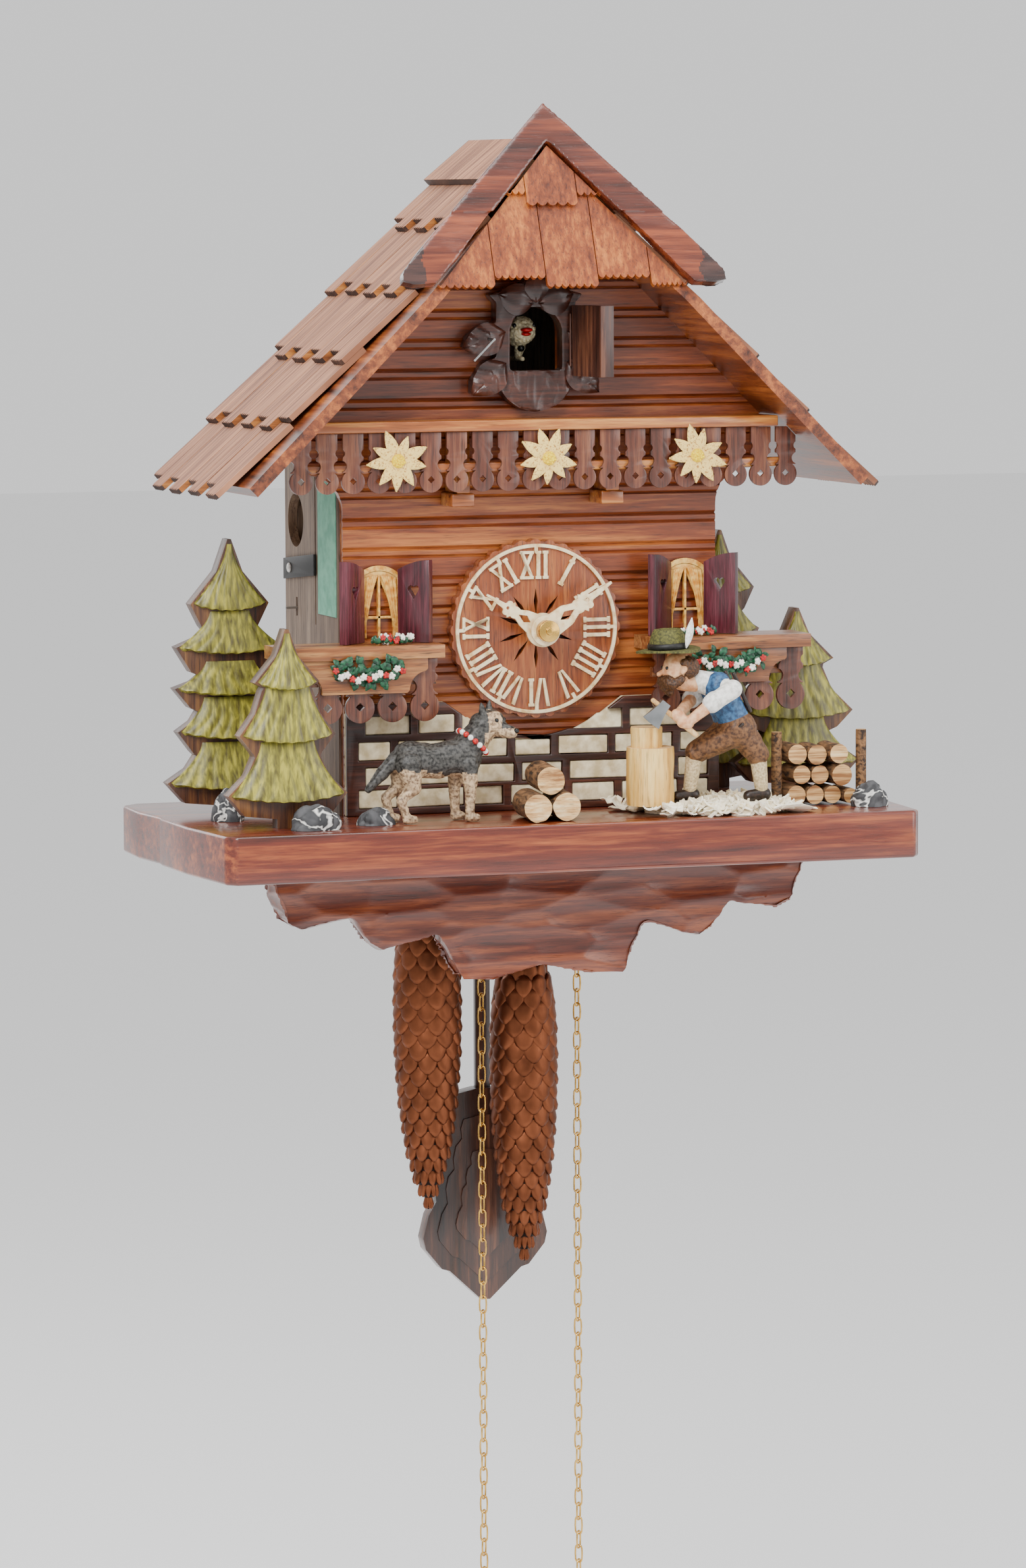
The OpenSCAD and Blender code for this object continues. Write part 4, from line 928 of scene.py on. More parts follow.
def log(radius, length, side, ends, seed, bumpy=0.05):
    """A log along Y from the origin, its bark uneven and its two ends sawn flat."""
    trunk = begin(bpy.ops.mesh.primitive_cylinder_add, vertices=36, radius=1, depth=1, end_fill_type="NGON")
    take(trunk)
    bpy.ops.object.mode_set(mode="EDIT")
    bpy.ops.mesh.select_all(action="SELECT")
    mesh = bmesh.from_edit_mesh(trunk.data)
    walls = [edge for edge in mesh.edges if abs(edge.verts[0].co.z - edge.verts[1].co.z) > 0.5]
    bmesh.ops.subdivide_edges(mesh, edges=walls, cuts=9, use_grid_fill=True)
    bmesh.update_edit_mesh(trunk.data)
    bpy.ops.object.mode_set(mode="OBJECT")
    for vertex in trunk.data.vertices:
        turn = math.atan2(vertex.co.y, vertex.co.x)
        along = vertex.co.z + 0.5
        rough = 1 - bumpy + bumpy * noise.noise(Vector((2.2 * math.cos(turn), 2.2 * math.sin(turn),
                                                        along * 3 + seed)))
        edge = 1.5 * radius * bumpy if 0.001 < along < 0.999 else 0
        grown = radius * rough + edge * 0.3
        vertex.co = Vector((grown * math.cos(turn), along * length, grown * math.sin(turn))) * MM
    trunk.data.materials.append(side)
    trunk.data.materials.append(ends)
    for face in trunk.data.polygons:
        if len(face.vertices) > 10:
            face.material_index = 1
    face_outwards(trunk)
    return trunk


logs = []
for count, (x, y, z) in enumerate(((-16.5, -139, 16.25), (-3.2, -137, 16.25), (-9.2, -134, 27.1))):
    piece = log(6.1, 28, bark, sawn_face, count * 5)
    piece.data.transform(placed(x, y, z, turn_y=count * 50, turn_z=-8))
    logs.append(piece)
for count, (x, z, radius) in enumerate(((108.2, 4.6, 4.5), (117, 4.4, 4.3), (125.4, 4.2, 4.1), (133, 3.6, 3.5),
                                        (111, 13.2, 4.3), (119.6, 12.8, 4.3), (129, 12.6, 4.9), (109, 22, 4.6),
                                        (118.4, 21.4, 4.6), (127.6, 21.8, 4.4))):
    piece = log(radius - 0.15, 18 - (count % 3), bark, sawn_face, 40 + count * 5)
    piece.data.transform(placed(x, -113 + (count % 3), z + 10.1, turn_y=count * 50))
    logs.append(piece)
for x in (101, 139.6):
    post = log(2.35, 31.5, bark, sawn_face, x)
    post.data.transform(placed(x, -108, 10.05, turn_x=90))
    logs.append(post)
firewood = merge(logs, "firewood_logs")
shown_as(firewood, "firewood")
settle(firewood, None, 40)

block = log(10.3, 24.3, yellow_wood, sawn_face, 3, 0.04)
block.data.transform(placed(37.7, -125, 14.55, turn_x=90))
short = log(6.8, 8.5, yellow_wood, sawn_face, 8, 0.04)
short.data.transform(placed(36.1, -125, 38.85, turn_x=90))
trunk = merge([block, short], "chopping_block_turned")
shown_as(trunk, "chopping_block")
settle(trunk, None, 40)

shaving_wood = stained_wood("pale_wood_shavings", "#DCC49A", "#F6EBCF", "#FFFBEE", "x", 0.6, 0.6, 0.0, 0.15,
                            1.0)
bed = begin(bpy.ops.mesh.primitive_cylinder_add, vertices=24, radius=1, depth=1)
bed.data.transform(placed(62.5, -117, 10.8) @ Matrix.Diagonal((24 * MM, 13 * MM, 1.2 * MM, 1)))
random.seed(31)
curl = begin(bpy.ops.mesh.primitive_grid_add, x_subdivisions=6, y_subdivisions=2, size=1)
for vertex in curl.data.vertices:
    turn = vertex.co.x * 2.6
    vertex.co = Vector((math.sin(turn) * 2.1, vertex.co.y * 2.4, 1.1 * (1 - math.cos(turn)))) * MM
thicken(curl, 0.5)
chip_places = []
for count in range(640):
    x = 62.5 + random.triangular(-36.5, 36.5, random.choice((-20, 20)))
    y = -116.5 + random.triangular(-26, 25, random.choice((-22, -22, 10)))
    if math.hypot(x - 37.7, y + 125) < 12.5 or math.hypot(x - 57, y + 121) < 7.5 or math.hypot(x - 85, y
                                                                                               + 129) < 7.5:
        continue
    chip_places.append(placed(x, y, 11.6 + random.uniform(0, 3.6), random.uniform(-50, 50),
                              random.uniform(-50, 50),
                              random.uniform(0, 360), random.uniform(0.8, 1.6)))
for count in range(90):
    x = random.uniform(34, 103)
    y = random.uniform(-139, -101)
    if math.hypot(x - 37.7, y + 125) < 15 or math.hypot(x - 57, y + 121) < 8 or math.hypot(x - 85, y + 129) < 7:
        continue
    chip_places.append(placed(x, y, 11.2 + random.uniform(0, 1.4), random.uniform(-16, 16),
                              random.uniform(-16, 16),
                              random.uniform(0, 360), random.uniform(1.8, 3.6))
                       @ Matrix.Diagonal((1, 1, 0.5, 1)))
chips = copies(curl, chip_places, "curled_shavings")
chips.data.materials.append(shaving_wood)
bed.data.materials.append(shaving_wood)
heap = merge([bed, chips], "wood_chips_curled")
shown_as(heap, "wood_chips")
settle(heap, None, 40)


# ---- Shepherd dog ----
# A hand-painted moulded dog in a shepherd's colours, with a collar of red and white beads.

def capsule(start, end, r0, r1, name="limb"):
    """A rounded limb between two points in millimetres, with a radius at each end."""
    a, b = Vector(start), Vector(end)
    span = b - a
    limb = begin(bpy.ops.mesh.primitive_uv_sphere_add, segments=24, ring_count=14, radius=1)
    limb.name = name
    turn = span.to_track_quat("Z", "Y") if span.length > 0.01 else Quaternion()
    for vertex in limb.data.vertices:
        up = vertex.co.z > 0
        radius = r1 if up else r0
        point = turn @ (vertex.co * radius)
        vertex.co = ((b if up else a) + point) * MM
    return limb


def figure(limbs, name, material, voxel_mm=0.5, smooth_steps=5):
    """Runs limbs together into one smooth body, as they are moulded."""
    body = merge([capsule(*limb) for limb in limbs], name)
    remesh = body.modifiers.new("clay", "REMESH")
    remesh.mode = "VOXEL"
    remesh.voxel_size = voxel_mm * MM
    smooth = body.modifiers.new("rounding", "SMOOTH")
    smooth.iterations = smooth_steps
    smooth.factor = 0.5
    take(body)
    bpy.ops.object.modifier_apply(modifier=remesh.name)
    bpy.ops.object.modifier_apply(modifier=smooth.name)
    body.data.materials.clear()
    body.data.materials.append(material)
    return body


def ball(x, y, z, radius, material, flat=(1, 1, 1), segments=16):
    """A small round bead, eye or knob."""
    bead = begin(bpy.ops.mesh.primitive_uv_sphere_add,
                 segments=segments, ring_count=segments // 2, radius=radius * MM)
    bead.data.transform(Matrix.Translation((x * MM, y * MM, z * MM)) @ Matrix.Diagonal((*flat, 1)))
    bead.data.materials.append(material)
    return bead


tan_coat = enamel("tan_dog_coat", "#6E5640", "#CDB08A", 0.5, 1.2)
black_coat = enamel("black_dog_coat", "#14120F", "#4A4844", 0.45, 1.2)
gloss_black = enamel("glossy_black_dot", "#060606", "#141414", 0.15, 0.8)
near, far = -124.0, -114.0
mid = -119.0
dog = figure([
    ((-66, mid, 36.8), (-54, mid, 35.2), 7.6, 7.2),
    ((-56, mid, 35.6), (-43, mid, 37), 7.2, 8.2),
    ((-42, mid, 39), (-35, mid, 47), 7.2, 5.8),
    ((-34, mid, 49.6), (-30.4, mid - 1, 50.6), 6.0, 5.8),
    ((-29, mid - 2, 49), (-23.4, mid - 6.2, 46.8), 3.8, 2.5),
    ((-30.4, mid + 3.6, 54), (-29.4, mid + 4.6, 59.4), 2.3, 0.7),
    ((-34.6, mid - 3.0, 54), (-36, mid - 4, 59.2), 2.3, 0.7),
    ((-42, near, 34), (-41, near, 23), 4.4, 2.5),
    ((-41, near, 23), (-41.6, near, 12.6), 2.4, 1.9),
    ((-41.6, near, 12.2), (-38.6, near, 11.9), 2.1, 1.7),
    ((-43.5, far, 34), (-45, far, 23), 4.4, 2.5),
    ((-45, far, 23), (-44.6, far, 12.6), 2.4, 1.9),
    ((-44.6, far, 12.2), (-41.8, far, 11.9), 2.1, 1.7),
    ((-67.5, near + 1, 35), (-66, near, 25), 6.0, 3.2),
    ((-66, near, 25), (-71.5, near, 20), 2.9, 2.0),
    ((-71.5, near, 20), (-68.6, near, 12.4), 2.0, 1.8),
    ((-68.8, near, 12.1), (-65.6, near, 11.9), 2.1, 1.7),
    ((-67.5, far - 1, 35), (-69, far, 25), 6.0, 3.2),
    ((-69, far, 25), (-75, far, 20.6), 2.9, 2.0),
    ((-75, far, 20.6), (-73, far, 12.4), 2.0, 1.8),
    ((-73, far, 12.1), (-70, far, 11.9), 2.1, 1.7),
    ((-72, mid, 37), (-78, mid, 31), 3.2, 2.8),
    ((-78, mid, 31), (-84, mid, 24.5), 2.8, 1.5),
], "dog_coat", tan_coat, 0.55, 5)
for vertex in dog.data.vertices:
    point = Vector((vertex.co.x / (4 * MM), vertex.co.y / (1.4 * MM), vertex.co.z / (1.6 * MM)))
    vertex.co += vertex.normal * 0.35 * MM * noise.noise(point)
dog.data.materials.append(black_coat)
for face in dog.data.polygons:
    x, z = face.center.x / MM, face.center.z / MM
    rough = 2.2 * noise.noise(face.center / (3.5 * MM))
    saddle = x < -35 and z > 30.5 + rough + (2.5 if x < -60 else 0) - 0.25 * max(0, -72 - x) * 5
    mask = (x > -27.5 + rough * 0.5 and z > 48.8) or z > 55.4 + rough * 0.5
    nape = -38 < x < -33.5 and z > 48 + rough
    if saddle or mask or nape:
        face.material_index = 1
bead_red = enamel("red_collar_bead", "#8E0F10", "#D22A22", 0.3, 0.9)
bead_white = enamel("white_collar_bead", "#CFCBC2", "#FAF8F2", 0.3, 0.9)
trims = [ball(-30.0, mid - 6.3, 52.2, 0.95, gloss_black), ball(-25.6, mid - 2.4, 52.2, 0.95, gloss_black),
         ball(-21.9, mid - 7.7, 47.7, 1.3, gloss_black, (1, 1.1, 0.9))]
neck_way = Vector((7, 0, 8)).normalized()
for count in range(18):
    turn = count * math.tau / 18
    out = Vector((neck_way.z, 0, -neck_way.x)) * math.cos(turn) + Vector((0, 1, 0)) * math.sin(turn)
    spot = Vector((-38.6, mid, 43)) + out * 7.2
    trims.append(ball(spot.x, spot.y, spot.z, 1.25, bead_red if count % 2 else bead_white, segments=12))
shepherd = merge([dog] + trims, "shepherd_dog_painted")
shown_as(shepherd, "shepherd_dog")
settle(shepherd, None, 60)


# ---- Woodchopper ----
# A hand-painted moulded figure bending over the block: hat with a band and feather, white shirt,
# blue waistcoat, leather breeches and woollen socks. The face is a plain one of our own.

olive_felt = enamel("olive_felt_hat", "#39391C", "#64622E", 0.75, 1.0)
black_band = enamel("black_hat_band", "#0B0B0B", "#1E1C1A", 0.5, 0.9)
skin = enamel("painted_skin", "#C98A5E", "#E8B88C", 0.42, 2.4)
hair = enamel("brown_hair", "#2E1A0E", "#5C3A1E", 0.5, 0.8)
shirt = enamel("white_shirt", "#C9C6BE", "#F5F3EC", 0.55, 1.8)
vest = enamel("blue_waistcoat", "#1E3A5C", "#3C6A94", 0.45, 1.6)
leather = enamel("brown_leather_breeches", "#3E2413", "#77502E", 0.5, 1.4)
sock = enamel("woollen_socks", "#A38C66", "#D3BE96", 0.8, 0.9)
shoe = enamel("dark_shoes", "#150E0A", "#33231A", 0.35, 1.2)
man = -125.0


def both(near_end, far_end, r0, r1):
    """The same limb on both sides of the man's middle, with y as the distance from it."""
    return [((near_end[0], man + side * near_end[1], near_end[2]),
             (far_end[0], man + side * far_end[1], far_end[2]),
             r0, r1) for side in (-1, 1)]


groups = [
    figure(both((75, 2.4, 48), (67, 2.6, 63.4), 6.8, 6.2), "waistcoat", vest),
    figure([((68.5, man - 5.4, 63.4), (68.5, man + 5.4, 63.4), 4.2, 4.2),
            ((66, man, 64), (59, man, 66), 5.4, 4.6)], "shirt_shoulders", shirt),
    figure([((75.6, man - 2.6, 45.4), (75.6, man + 2.6, 45.4), 8.4, 8.4),
            ((72, man - 3, 42.6), (59.6, -121, 35.4), 5.6, 4.7),
            ((70, -121.6, 42), (59.6, -121, 35.4), 5.6, 4.7),
            ((78, -128.6, 43), (84.4, -129, 34.4), 6.0, 4.8)], "breeches", leather),
    figure([((59, -121, 34), (57, -121, 20.6), 3.7, 2.9),
            ((84.6, -129, 33.4), (86, -129, 20.6), 3.7, 2.9)], "socks", sock),
    figure([((58.4, -121, 17.6), (51.4, -121, 17), 2.9, 2.5),
            ((87.4, -129, 17.6), (80.4, -129, 17), 2.9, 2.5)], "shoes", shoe),
    figure([((50.4, man, 71.6), (49.6, man, 70.0), 6.6, 6.2),
            ((43.4, man, 70.2), (41.9, man, 69.2), 1.0, 1.2),
            *both((49.8, 6.9, 70.6), (50.4, 6.9, 71.6), 1.3, 1.6),
            ((52, man, 66), (57, man, 65.4), 4.0, 4.2)], "head", skin, 0.4, 3),
    figure([((45.4, man - 3.2, 66), (45.4, man + 3.2, 66), 3.1, 3.1),
            ((45.8, man, 63.8), (46.4, man, 61.8), 3.4, 2.0),
            *both((49.4, 6.2, 67.2), (46.4, 4.6, 65), 1.8, 2.2),
            *both((43.0, 1.6, 67.3), (43.4, 3.6, 66.6), 1.2, 0.9),
            ((53.6, man - 3.4, 72), (53.6, man + 3.4, 72), 4.8, 4.8),
            *both((51, 6.2, 74), (55, 4, 70.4), 2.0, 2.4)], "hair_and_beard", hair, 0.4, 2),
]
for name in ("waistcoat", "breeches", "hair_and_beard"):
    body = next(group for group in groups if group.name == name)
    for vertex in body.data.vertices:
        vertex.co += vertex.normal * 0.45 * MM * noise.noise(vertex.co / ((1.2 if name.startswith("hair")
                                                                           else 3.2) * MM))
eyes = [ball(44.4, man - 2.7, 71.9, 0.75, gloss_black), ball(44.4, man + 2.7, 71.9, 0.75, gloss_black)]
# a dark stripe down the breeches' side and two braces over the waistcoat's back
trim = [capsule((75, man - 11.0, 48), (62, -125.6, 36.4), 0.7, 0.7)]
trim += [capsule((80.6, man + y, 53), (73.4, man + y, 68.6), 0.9, 0.9) for y in (-5, 5)]
for piece in trim:
    piece.data.materials.append(shoe)

hat = begin(bpy.ops.mesh.primitive_uv_sphere_add, segments=48, ring_count=24, radius=1)
for vertex in hat.data.vertices:
    x, y, z = vertex.co
    out = math.hypot(x, y)
    turn = math.atan2(y, x)
    if z < 0.12:
        wide = 13.6 * out
        lift = 0.5 * math.sin(2 * turn) + 0.02 * wide ** 2 * 0.12
        vertex.co = Vector((wide * math.cos(turn), wide * math.sin(turn),
                            -0.6 + lift + (0.9 if z > -0.02 else 0)))
    else:
        grown = 8.4 * out ** 0.5 * (1 - 0.2 * (z - 0.12)) if out > 0.001 else 0
        dent = 1.7 * math.exp(-(y * 3.2) ** 2) * (z > 0.8)
        vertex.co = Vector((grown * math.cos(turn), grown * math.sin(turn) * 0.94,
                            0.4 + 9.0 * min(1, (z - 0.12) / 0.7) ** 0.75 - dent))
hat.data.transform(Matrix.Scale(MM, 4))
hat.data.transform(placed(45.9, man, 78.9, turn_y=-3))
hat.data.materials.append(olive_felt)
band = begin(bpy.ops.mesh.primitive_torus_add,
             major_segments=40, minor_segments=10, major_radius=8.0 * MM, minor_radius=0.9 * MM)
band.data.transform(placed(45.9, man, 81, turn_y=-3) @ Matrix.Diagonal((1, 0.96, 1.6, 1)))
band.data.materials.append(black_band)
feather = leaf_pattern("feather", 13, 1.9, 0.5, 0.5, bead_white, 0.5, 6, 14)
feather.data.transform(placed(51, man - 8.6, 80.4, turn_x=10, turn_y=-78, turn_z=6))
chopper = merge(groups + eyes + trim + [hat, band, feather], "woodchopper_painted")
shown_as(chopper, "woodchopper")
settle(chopper, None, 60)

# both arms and the axe swing together about the shoulders
axe_line = -134.8
steel_grey = metal("forged_axe_head", "#55585A", "#A9ABAC", 0.35, "x")
handle_wood = stained_wood("pale_axe_handle", "#8A5E2E", "#C99A5C", "#E8C48C", "z", 0.6, 0.4, 0.1, 0.15)
arm_parts = [
    figure([((70, man - 12.4, 63), (61.6, man - 12.9, 58), 4.1, 3.7),
            ((61.8, man - 12.9, 58.4), (60.6, man - 12.8, 57.4), 4.2, 4.1),
            ((70, man + 12.4, 63), (61.6, man + 12.0, 58), 4.1, 3.7),
            ((61.8, man + 12.0, 58.4), (60.6, man + 11.8, 57.4), 4.2, 4.1),
            *both((70, 8.6, 63), (70, 12.4, 63), 3.2, 3.8)], "rolled_sleeves", shirt),
    figure([((61, man - 12.8, 57.6), (50.6, axe_line - 1.2, 49.6), 2.8, 2.1),
            ((50.8, axe_line, 49.4), (48.8, axe_line, 49.8), 2.9, 2.7),
            ((61, man + 11.8, 57.6), (47.6, axe_line + 3.4, 52.2), 2.8, 2.1),
            ((47.4, axe_line + 0.8, 52), (46, axe_line, 52.8), 2.8, 2.6)], "forearms_and_hands", skin, 0.45, 4),
]
handle = capsule((54.6, axe_line, 44.2), (35.6, axe_line, 59.2), 1.2, 1.0, "axe_handle")
handle.data.materials.append(handle_wood)
blade = begin(bpy.ops.mesh.primitive_cube_add, size=1)
bpy.ops.object.mode_set(mode="EDIT")
bpy.ops.mesh.select_all(action="SELECT")
bpy.ops.mesh.subdivide(number_cuts=6)
bpy.ops.object.mode_set(mode="OBJECT")
for vertex in blade.data.vertices:
    down = vertex.co.x + 0.5
    spread = 4.2 + 4.6 * down ** 1.6
    vertex.co = Vector((10.5 * down - 2.4 + 1.2 * (0.25 - vertex.co.z ** 2) * down * 4 * 0.25,
                        vertex.co.y * 3.2 * (1 - 0.9 * down),
                        vertex.co.z * spread)) * MM
blade.data.transform(placed(39.6, axe_line, 56.2, turn_y=128))
blade.data.materials.append(steel_grey)
arms = merge(arm_parts + [handle, blade], "chopper_arms_painted")
shown_as(arms, "chopper_arms", "chopper_arms")
settle(arms, None, 60)


# ---- Cuckoo's house and door ----
# A carved walnut-stained board round the doorway, with veined leaves on both sides. The door hangs on
# a wire at the right and is held shut by a wire latch at the left.

bird_house = blank_of("cuckoo_frame", "cuckoo_frame_carved")
whittle(bird_house, 0.55, 4.6, 0.9, (1, 1, 0.35), round_mm=0.5,
        where=lambda p, n: 1.0 if n.y < -0.4 and p.z < 0.196 else 0.35)
bird_house.data.materials.append(walnut)
house_leaf = leaf_pattern("house_leaf", 20, 7.0, 1.6, 1.4, walnut, 0.42, 10, 26)
for vertex in house_leaf.data.vertices:
    along = vertex.co.x / (18 * MM)
    side = abs(vertex.co.z) / (6.2 * MM)
    vertex.co.y -= 0.45 * MM * math.sin((along * 6 - side * 1.6) * math.pi) * min(1, side * 3)
house_leaves = copies(house_leaf, [placed(-13.5, -90.4, 212, turn_y=-200),
                                   placed(-13.5, -90.8, 199, turn_y=-222),
                                   placed(13.5, -90.4, 212, turn_y=20),
                                   placed(13.5, -90.8, 199, turn_y=42, size=0.96)],
                      "house_leaves")
top_leaf = leaf_pattern("top_leaf", 13, 5.4, 1.3, 1.4, walnut, 0.45, 8, 16)
tops = copies(top_leaf, [placed(0, -90.6, 224, turn_y=-90), placed(-1, -90.2, 223.6, turn_y=-166, size=1.25),
                         placed(1, -90.2, 223.6, turn_y=-14, size=1.25)], "top_leaves")
carved_house = merge([bird_house, house_leaves, tops], "cuckoo_house_carved")
shown_as(carved_house, "cuckoo_frame")
settle(carved_house, None, 40)

door_wood = stained_wood("walnut_door_board", "#1C0E09", "#43241A", "#7A4C34", "z", 0.9, 0.38, 0.2, 0.2)
planed("cuckoo_door", "cuckoo_door_board", door_wood, 0.4, 3, 40, body="cuckoo_door")

planed("door_latch", "door_latch_wire", steel, 0.2, 3, 40, body="door_latch")

# ---- Cuckoo ----
# A small moulded bird with a roughened coat, a red beak and black eyes, on a wire and a lever.

feather_cream = enamel("cream_bird_coat", "#B9A77A", "#F1E6C2", 0.5, 1.0)
bird = figure([((0, -70.4, 212), (0, -69, 212), 6.0, 6.0),
               ((0, -66, 210), (0, -58, 208.6), 5.2, 2.6),
               ((0, -68, 205), (0, -66, 201), 2.4, 1.6),
               ((0, -72, 200), (0, -40, 200), 1.0, 1.0)],
              "bird_coat", feather_cream, 0.4, 3)
for vertex in bird.data.vertices:
    if vertex.co.z > 0.2035:
        vertex.co += vertex.normal * 0.6 * MM * noise.noise(vertex.co / (1.3 * MM))
beak_red = enamel("red_beak", "#7C0A0C", "#C41A18", 0.3, 1.2)
beak_parts = [ball(0, -77.4, 212.4, 2.6, beak_red, (1.0, 1.1, 0.42), 20),
              ball(0, -76.6, 210.6, 2.3, beak_red, (0.9, 1.0, 0.4), 20)]
bird_eyes = [ball(side * 4.3, -73.9, 214.2, 0.95, gloss_black) for side in (-1, 1)]
lever_parts = [capsule((0, -70, 204.5), (0, -66, 204.5), 1.5, 1.5)]
lever_parts[0].data.materials.append(gloss_black)
cuckoo = merge([bird] + beak_parts + bird_eyes + lever_parts, "cuckoo_moulded")
shown_as(cuckoo, "cuckoo_bird", "cuckoo_bird")
settle(cuckoo, None, 60)


# ---- Pendulum ----
# A thin stained rod with a carved leaf that slides on it with friction; the leaf is stepped in three
# layers with a raised middle.

dark_bob = stained_wood("dark_stained_leaf", "#160B07", "#3A1F14", "#6B4029", "z", 1.2, 0.3, 0.45, 0.15, 1.1)
planed("pendulum_rod", "pendulum_rod_planed", dark_bob, 0.5, 3, 40, body="pendulum")
bob = blank_of("pendulum_bob", "pendulum_leaf")
layers = [bob]
for share, forward in ((0.78, 1.6), (0.5, 3.0)):
    layer = bpy.data.objects.new("leaf_layer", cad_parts["pendulum_bob"].data.copy())
    bpy.context.collection.objects.link(layer)
    layer.data.materials.clear()
    heart = Vector((0, -12 * MM, -172 * MM))
    layer.data.transform(Matrix.Translation(heart + Vector((0, -forward * MM, 0)))
                         @ Matrix.Diagonal((share, 0.9, share, 1)) @ Matrix.Translation(-heart))
    layers.append(layer)
leaf_bob = merge(layers, "pendulum_leaf_carved")
take(leaf_bob)
bpy.ops.object.mode_set(mode="EDIT")
bpy.ops.mesh.select_all(action="SELECT")
bpy.ops.mesh.remove_doubles(threshold=0.004 * MM)
bpy.ops.mesh.dissolve_limited(angle_limit=math.radians(2))
bpy.ops.object.mode_set(mode="OBJECT")
soften(leaf_bob, 0.8, 3, 30)
shown_as(leaf_bob, "pendulum_bob", "bob")
settle(leaf_bob, dark_bob, 35)


# ---- Weights ----
# Two cast iron pine cones, black with copper rubbed over the scales, each hung by an eye on its chain.

copper = metal("rubbed_copper", "#3A1E14", "#8E5438", 0.45, "z", 0.9)
cast_black = metal("black_cast_iron", "#120E0C", "#2C2320", 0.55, "z", 0.9)
chain_y = -41
cone_long = 134.6
cone_outline = ((0.34, 0), (0.62, 0.03), (0.86, 0.1), (0.97, 0.2), (1, 0.34), (0.97, 0.5), (0.86, 0.66),
                (0.68, 0.8),
                (0.45, 0.9), (0.22, 0.965), (0.05, 1))


def cone_radius(share):
    """The cone's radius in millimetres at a share of its length."""
    for (r0, t0), (r1, t1) in zip(cone_outline, cone_outline[1:]):
        if t0 <= share <= t1:
            return 15.8 * (r0 + (r1 - r0) * (share - t0) / (t1 - t0))
    return 0.8


def cone_weight(x, top, name):
    """A cone hanging from its top in millimetres: core, scales in spiral rows, and the hook's eye."""
    core = begin(bpy.ops.mesh.primitive_uv_sphere_add, segments=32, ring_count=40, radius=1)
    for vertex in core.data.vertices:
        share = (1 - vertex.co.z) / 2
        turn = math.atan2(vertex.co.y, vertex.co.x)
        radius = max(0.3, cone_radius(share) - 2.0) if 0 < share < 1 else 0
        vertex.co = Vector((x + radius * math.cos(turn), chain_y + radius * math.sin(turn),
                            top - cone_long * share)) * MM
    core.data.materials.append(cast_black)
    scale = begin(bpy.ops.mesh.primitive_ico_sphere_add, subdivisions=2, radius=1)
    for vertex in scale.data.vertices:
        low = max(0.0, -vertex.co.z)
        vertex.co = Vector((vertex.co.x * (1.5 + 1.2 * low) + 0.9 * low, vertex.co.y * (4.0 - 1.9 * low ** 2),
                            vertex.co.z * 5.2 - 0.6 * low)) * MM
    scale.data.materials.append(copper)
    places = []
    rows = 24
    fit = 10
    for row in range(rows):
        share = 0.025 + 0.95 * row / (rows - 1)
        radius = cone_radius(share)
        for count in range(fit):
            turn = (count + 0.5 * (row % 2)) * math.tau / fit
            size = max(0.22, radius / 15.8)
            spin = Matrix.Rotation(turn, 4, "Z")
            shape = Matrix.Diagonal((0.65 + 0.35 * size, size * 1.22, 0.72 + 0.28 * size, 1))
            places.append(Matrix.Translation((x * MM, chain_y * MM, (top - cone_long * share + 1.5) * MM))
                          @ spin
                          @ Matrix.Translation(((radius - 2.7 * (0.65 + 0.35 * size)) * MM, 0, 0)) @ shape)
    scales = copies(scale, places, "cone_scales")
    for vertex in scales.data.vertices:
        vertex.co.z = min(top * MM, max((top - 135) * MM, vertex.co.z))
    eye = begin(bpy.ops.mesh.primitive_torus_add,
                major_segments=28, minor_segments=10, major_radius=2.55 * MM, minor_radius=0.62 * MM)
    eye.data.transform(placed(x, chain_y, top + 6.4, turn_x=90))
    eye.data.materials.append(steel)
    shank = capsule((x, chain_y, top - 1), (x, chain_y, top + 3.6), 0.95, 0.8)
    shank.data.materials.append(steel)
    return merge([core, scales, eye, shank], name)


pitch = 6.3
wheel_height = 58
for side, x, links in (("left", -34.07, 13), ("right", 9.53, 17)):
    cone = cone_weight(x, wheel_height - links * pitch - 8.1, "pine_cone_" + side)
    shown_as(cone, "weight_" + side, "weight_" + side)
    settle(cone, None, 50)


# ---- Chains and pull rings ----
# Bright brass links of round wire, each turned a quarter from the next; the free ends stop in rings.

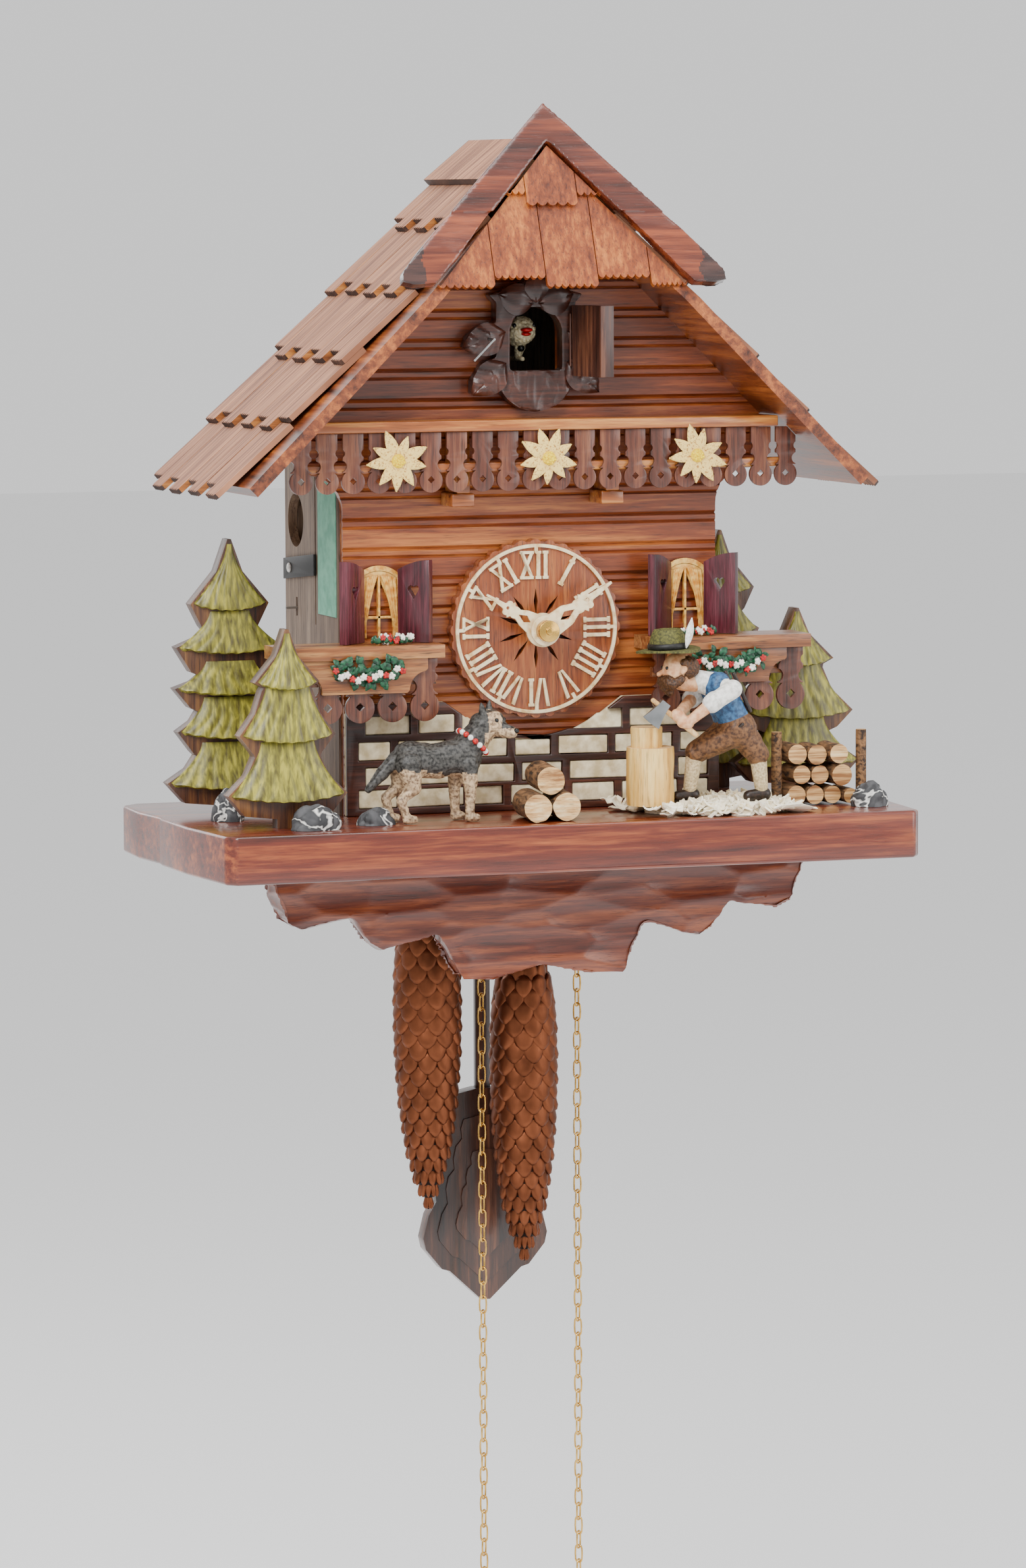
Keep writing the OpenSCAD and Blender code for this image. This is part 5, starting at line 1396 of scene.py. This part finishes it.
def chain_run(x, links, name, ring=False):
    """A hanging run of links below the wheel, at x in millimetres, with or without a pull ring."""
    link = begin(bpy.ops.mesh.primitive_torus_add,
                 major_segments=16, minor_segments=8, major_radius=1.65 * MM, minor_radius=0.41 * MM)
    for vertex in link.data.vertices:
        turn = math.atan2(vertex.co.y, vertex.co.x)
        vertex.co.y += 2.18 * MM * max(-1, min(1, math.sin(turn) * 2.2))
    link.data.materials.append(brass)
    places = [placed(x, chain_y, wheel_height - (count + 0.5) * pitch, turn_z=45 + 90 * ((count + 1) % 2))
              @ Matrix.Rotation(math.radians(90), 4, "X") for count in range(links)]
    run = copies(link, places, name)
    if ring:
        pull = begin(bpy.ops.mesh.primitive_torus_add,
                     major_segments=48, minor_segments=12, major_radius=11.5 * MM, minor_radius=0.9 * MM)
        pull.data.transform(placed(x, chain_y, wheel_height - links * pitch - 10.6, turn_z=-45)
                            @ Matrix.Rotation(math.radians(90), 4, "X"))
        pull.data.materials.append(brass)
        run = merge([run, pull], name)
    return run


for node, body, x, links in (("chain_left", "weight_left", -34.07, 13),
                             ("chain_right", "weight_right", 9.53, 17),
                             ("ring_chain_left", "pull_ring_left", -9.53, 62),
                             ("ring_chain_right", "pull_ring_right", 34.07, 62)):
    run = chain_run(x, links, node + "_links", node.startswith("ring"))
    shown_as(run, node, body)
    settle(run, None, 50)


# ---- Fittings on the side, movement, gong and bellows ----
# A black strap with a rivet, a plain green paper label, and inside the case a brass movement with
# steel arbors, a wire gong and two wooden pipes with bellows.

strap_leather = enamel("black_strap", "#0A0A0A", "#232120", 0.5, 1.5)
strap = blank_of("side_strap", "side_strap_cut")
soften(strap, 0.3, 3, 40)
strap.data.materials.append(strap_leather)
rivet = ball(-85.8, -11.6, 110.4, 2.1, bead_white, (0.5, 1, 1), 20)
strap = merge([strap, rivet], "side_strap_riveted")
shown_as(strap, "side_strap")
settle(strap, None, 40)

green_paper = enamel("green_paper_label", "#5E9C82", "#78B498", 0.7, 6.0)
pipe_wood = stained_wood("pale_pipe_wood", "#9A7444", "#C9A26C", "#E6C896", "z", 1.0, 0.6, 0.0, 0.25)
shown_with(green_paper, "paper_label")
shown_with(steel, "silence_lever", "wall_hanger", "gong", "gong_hammer", "verge")
shown_with(brass, "movement_frame", "escape_wheel", "chain_wheel_left", "chain_wheel_right")
shown_with(pipe_wood, "cuckoo_pipes", "bellows_left", "bellows_right")
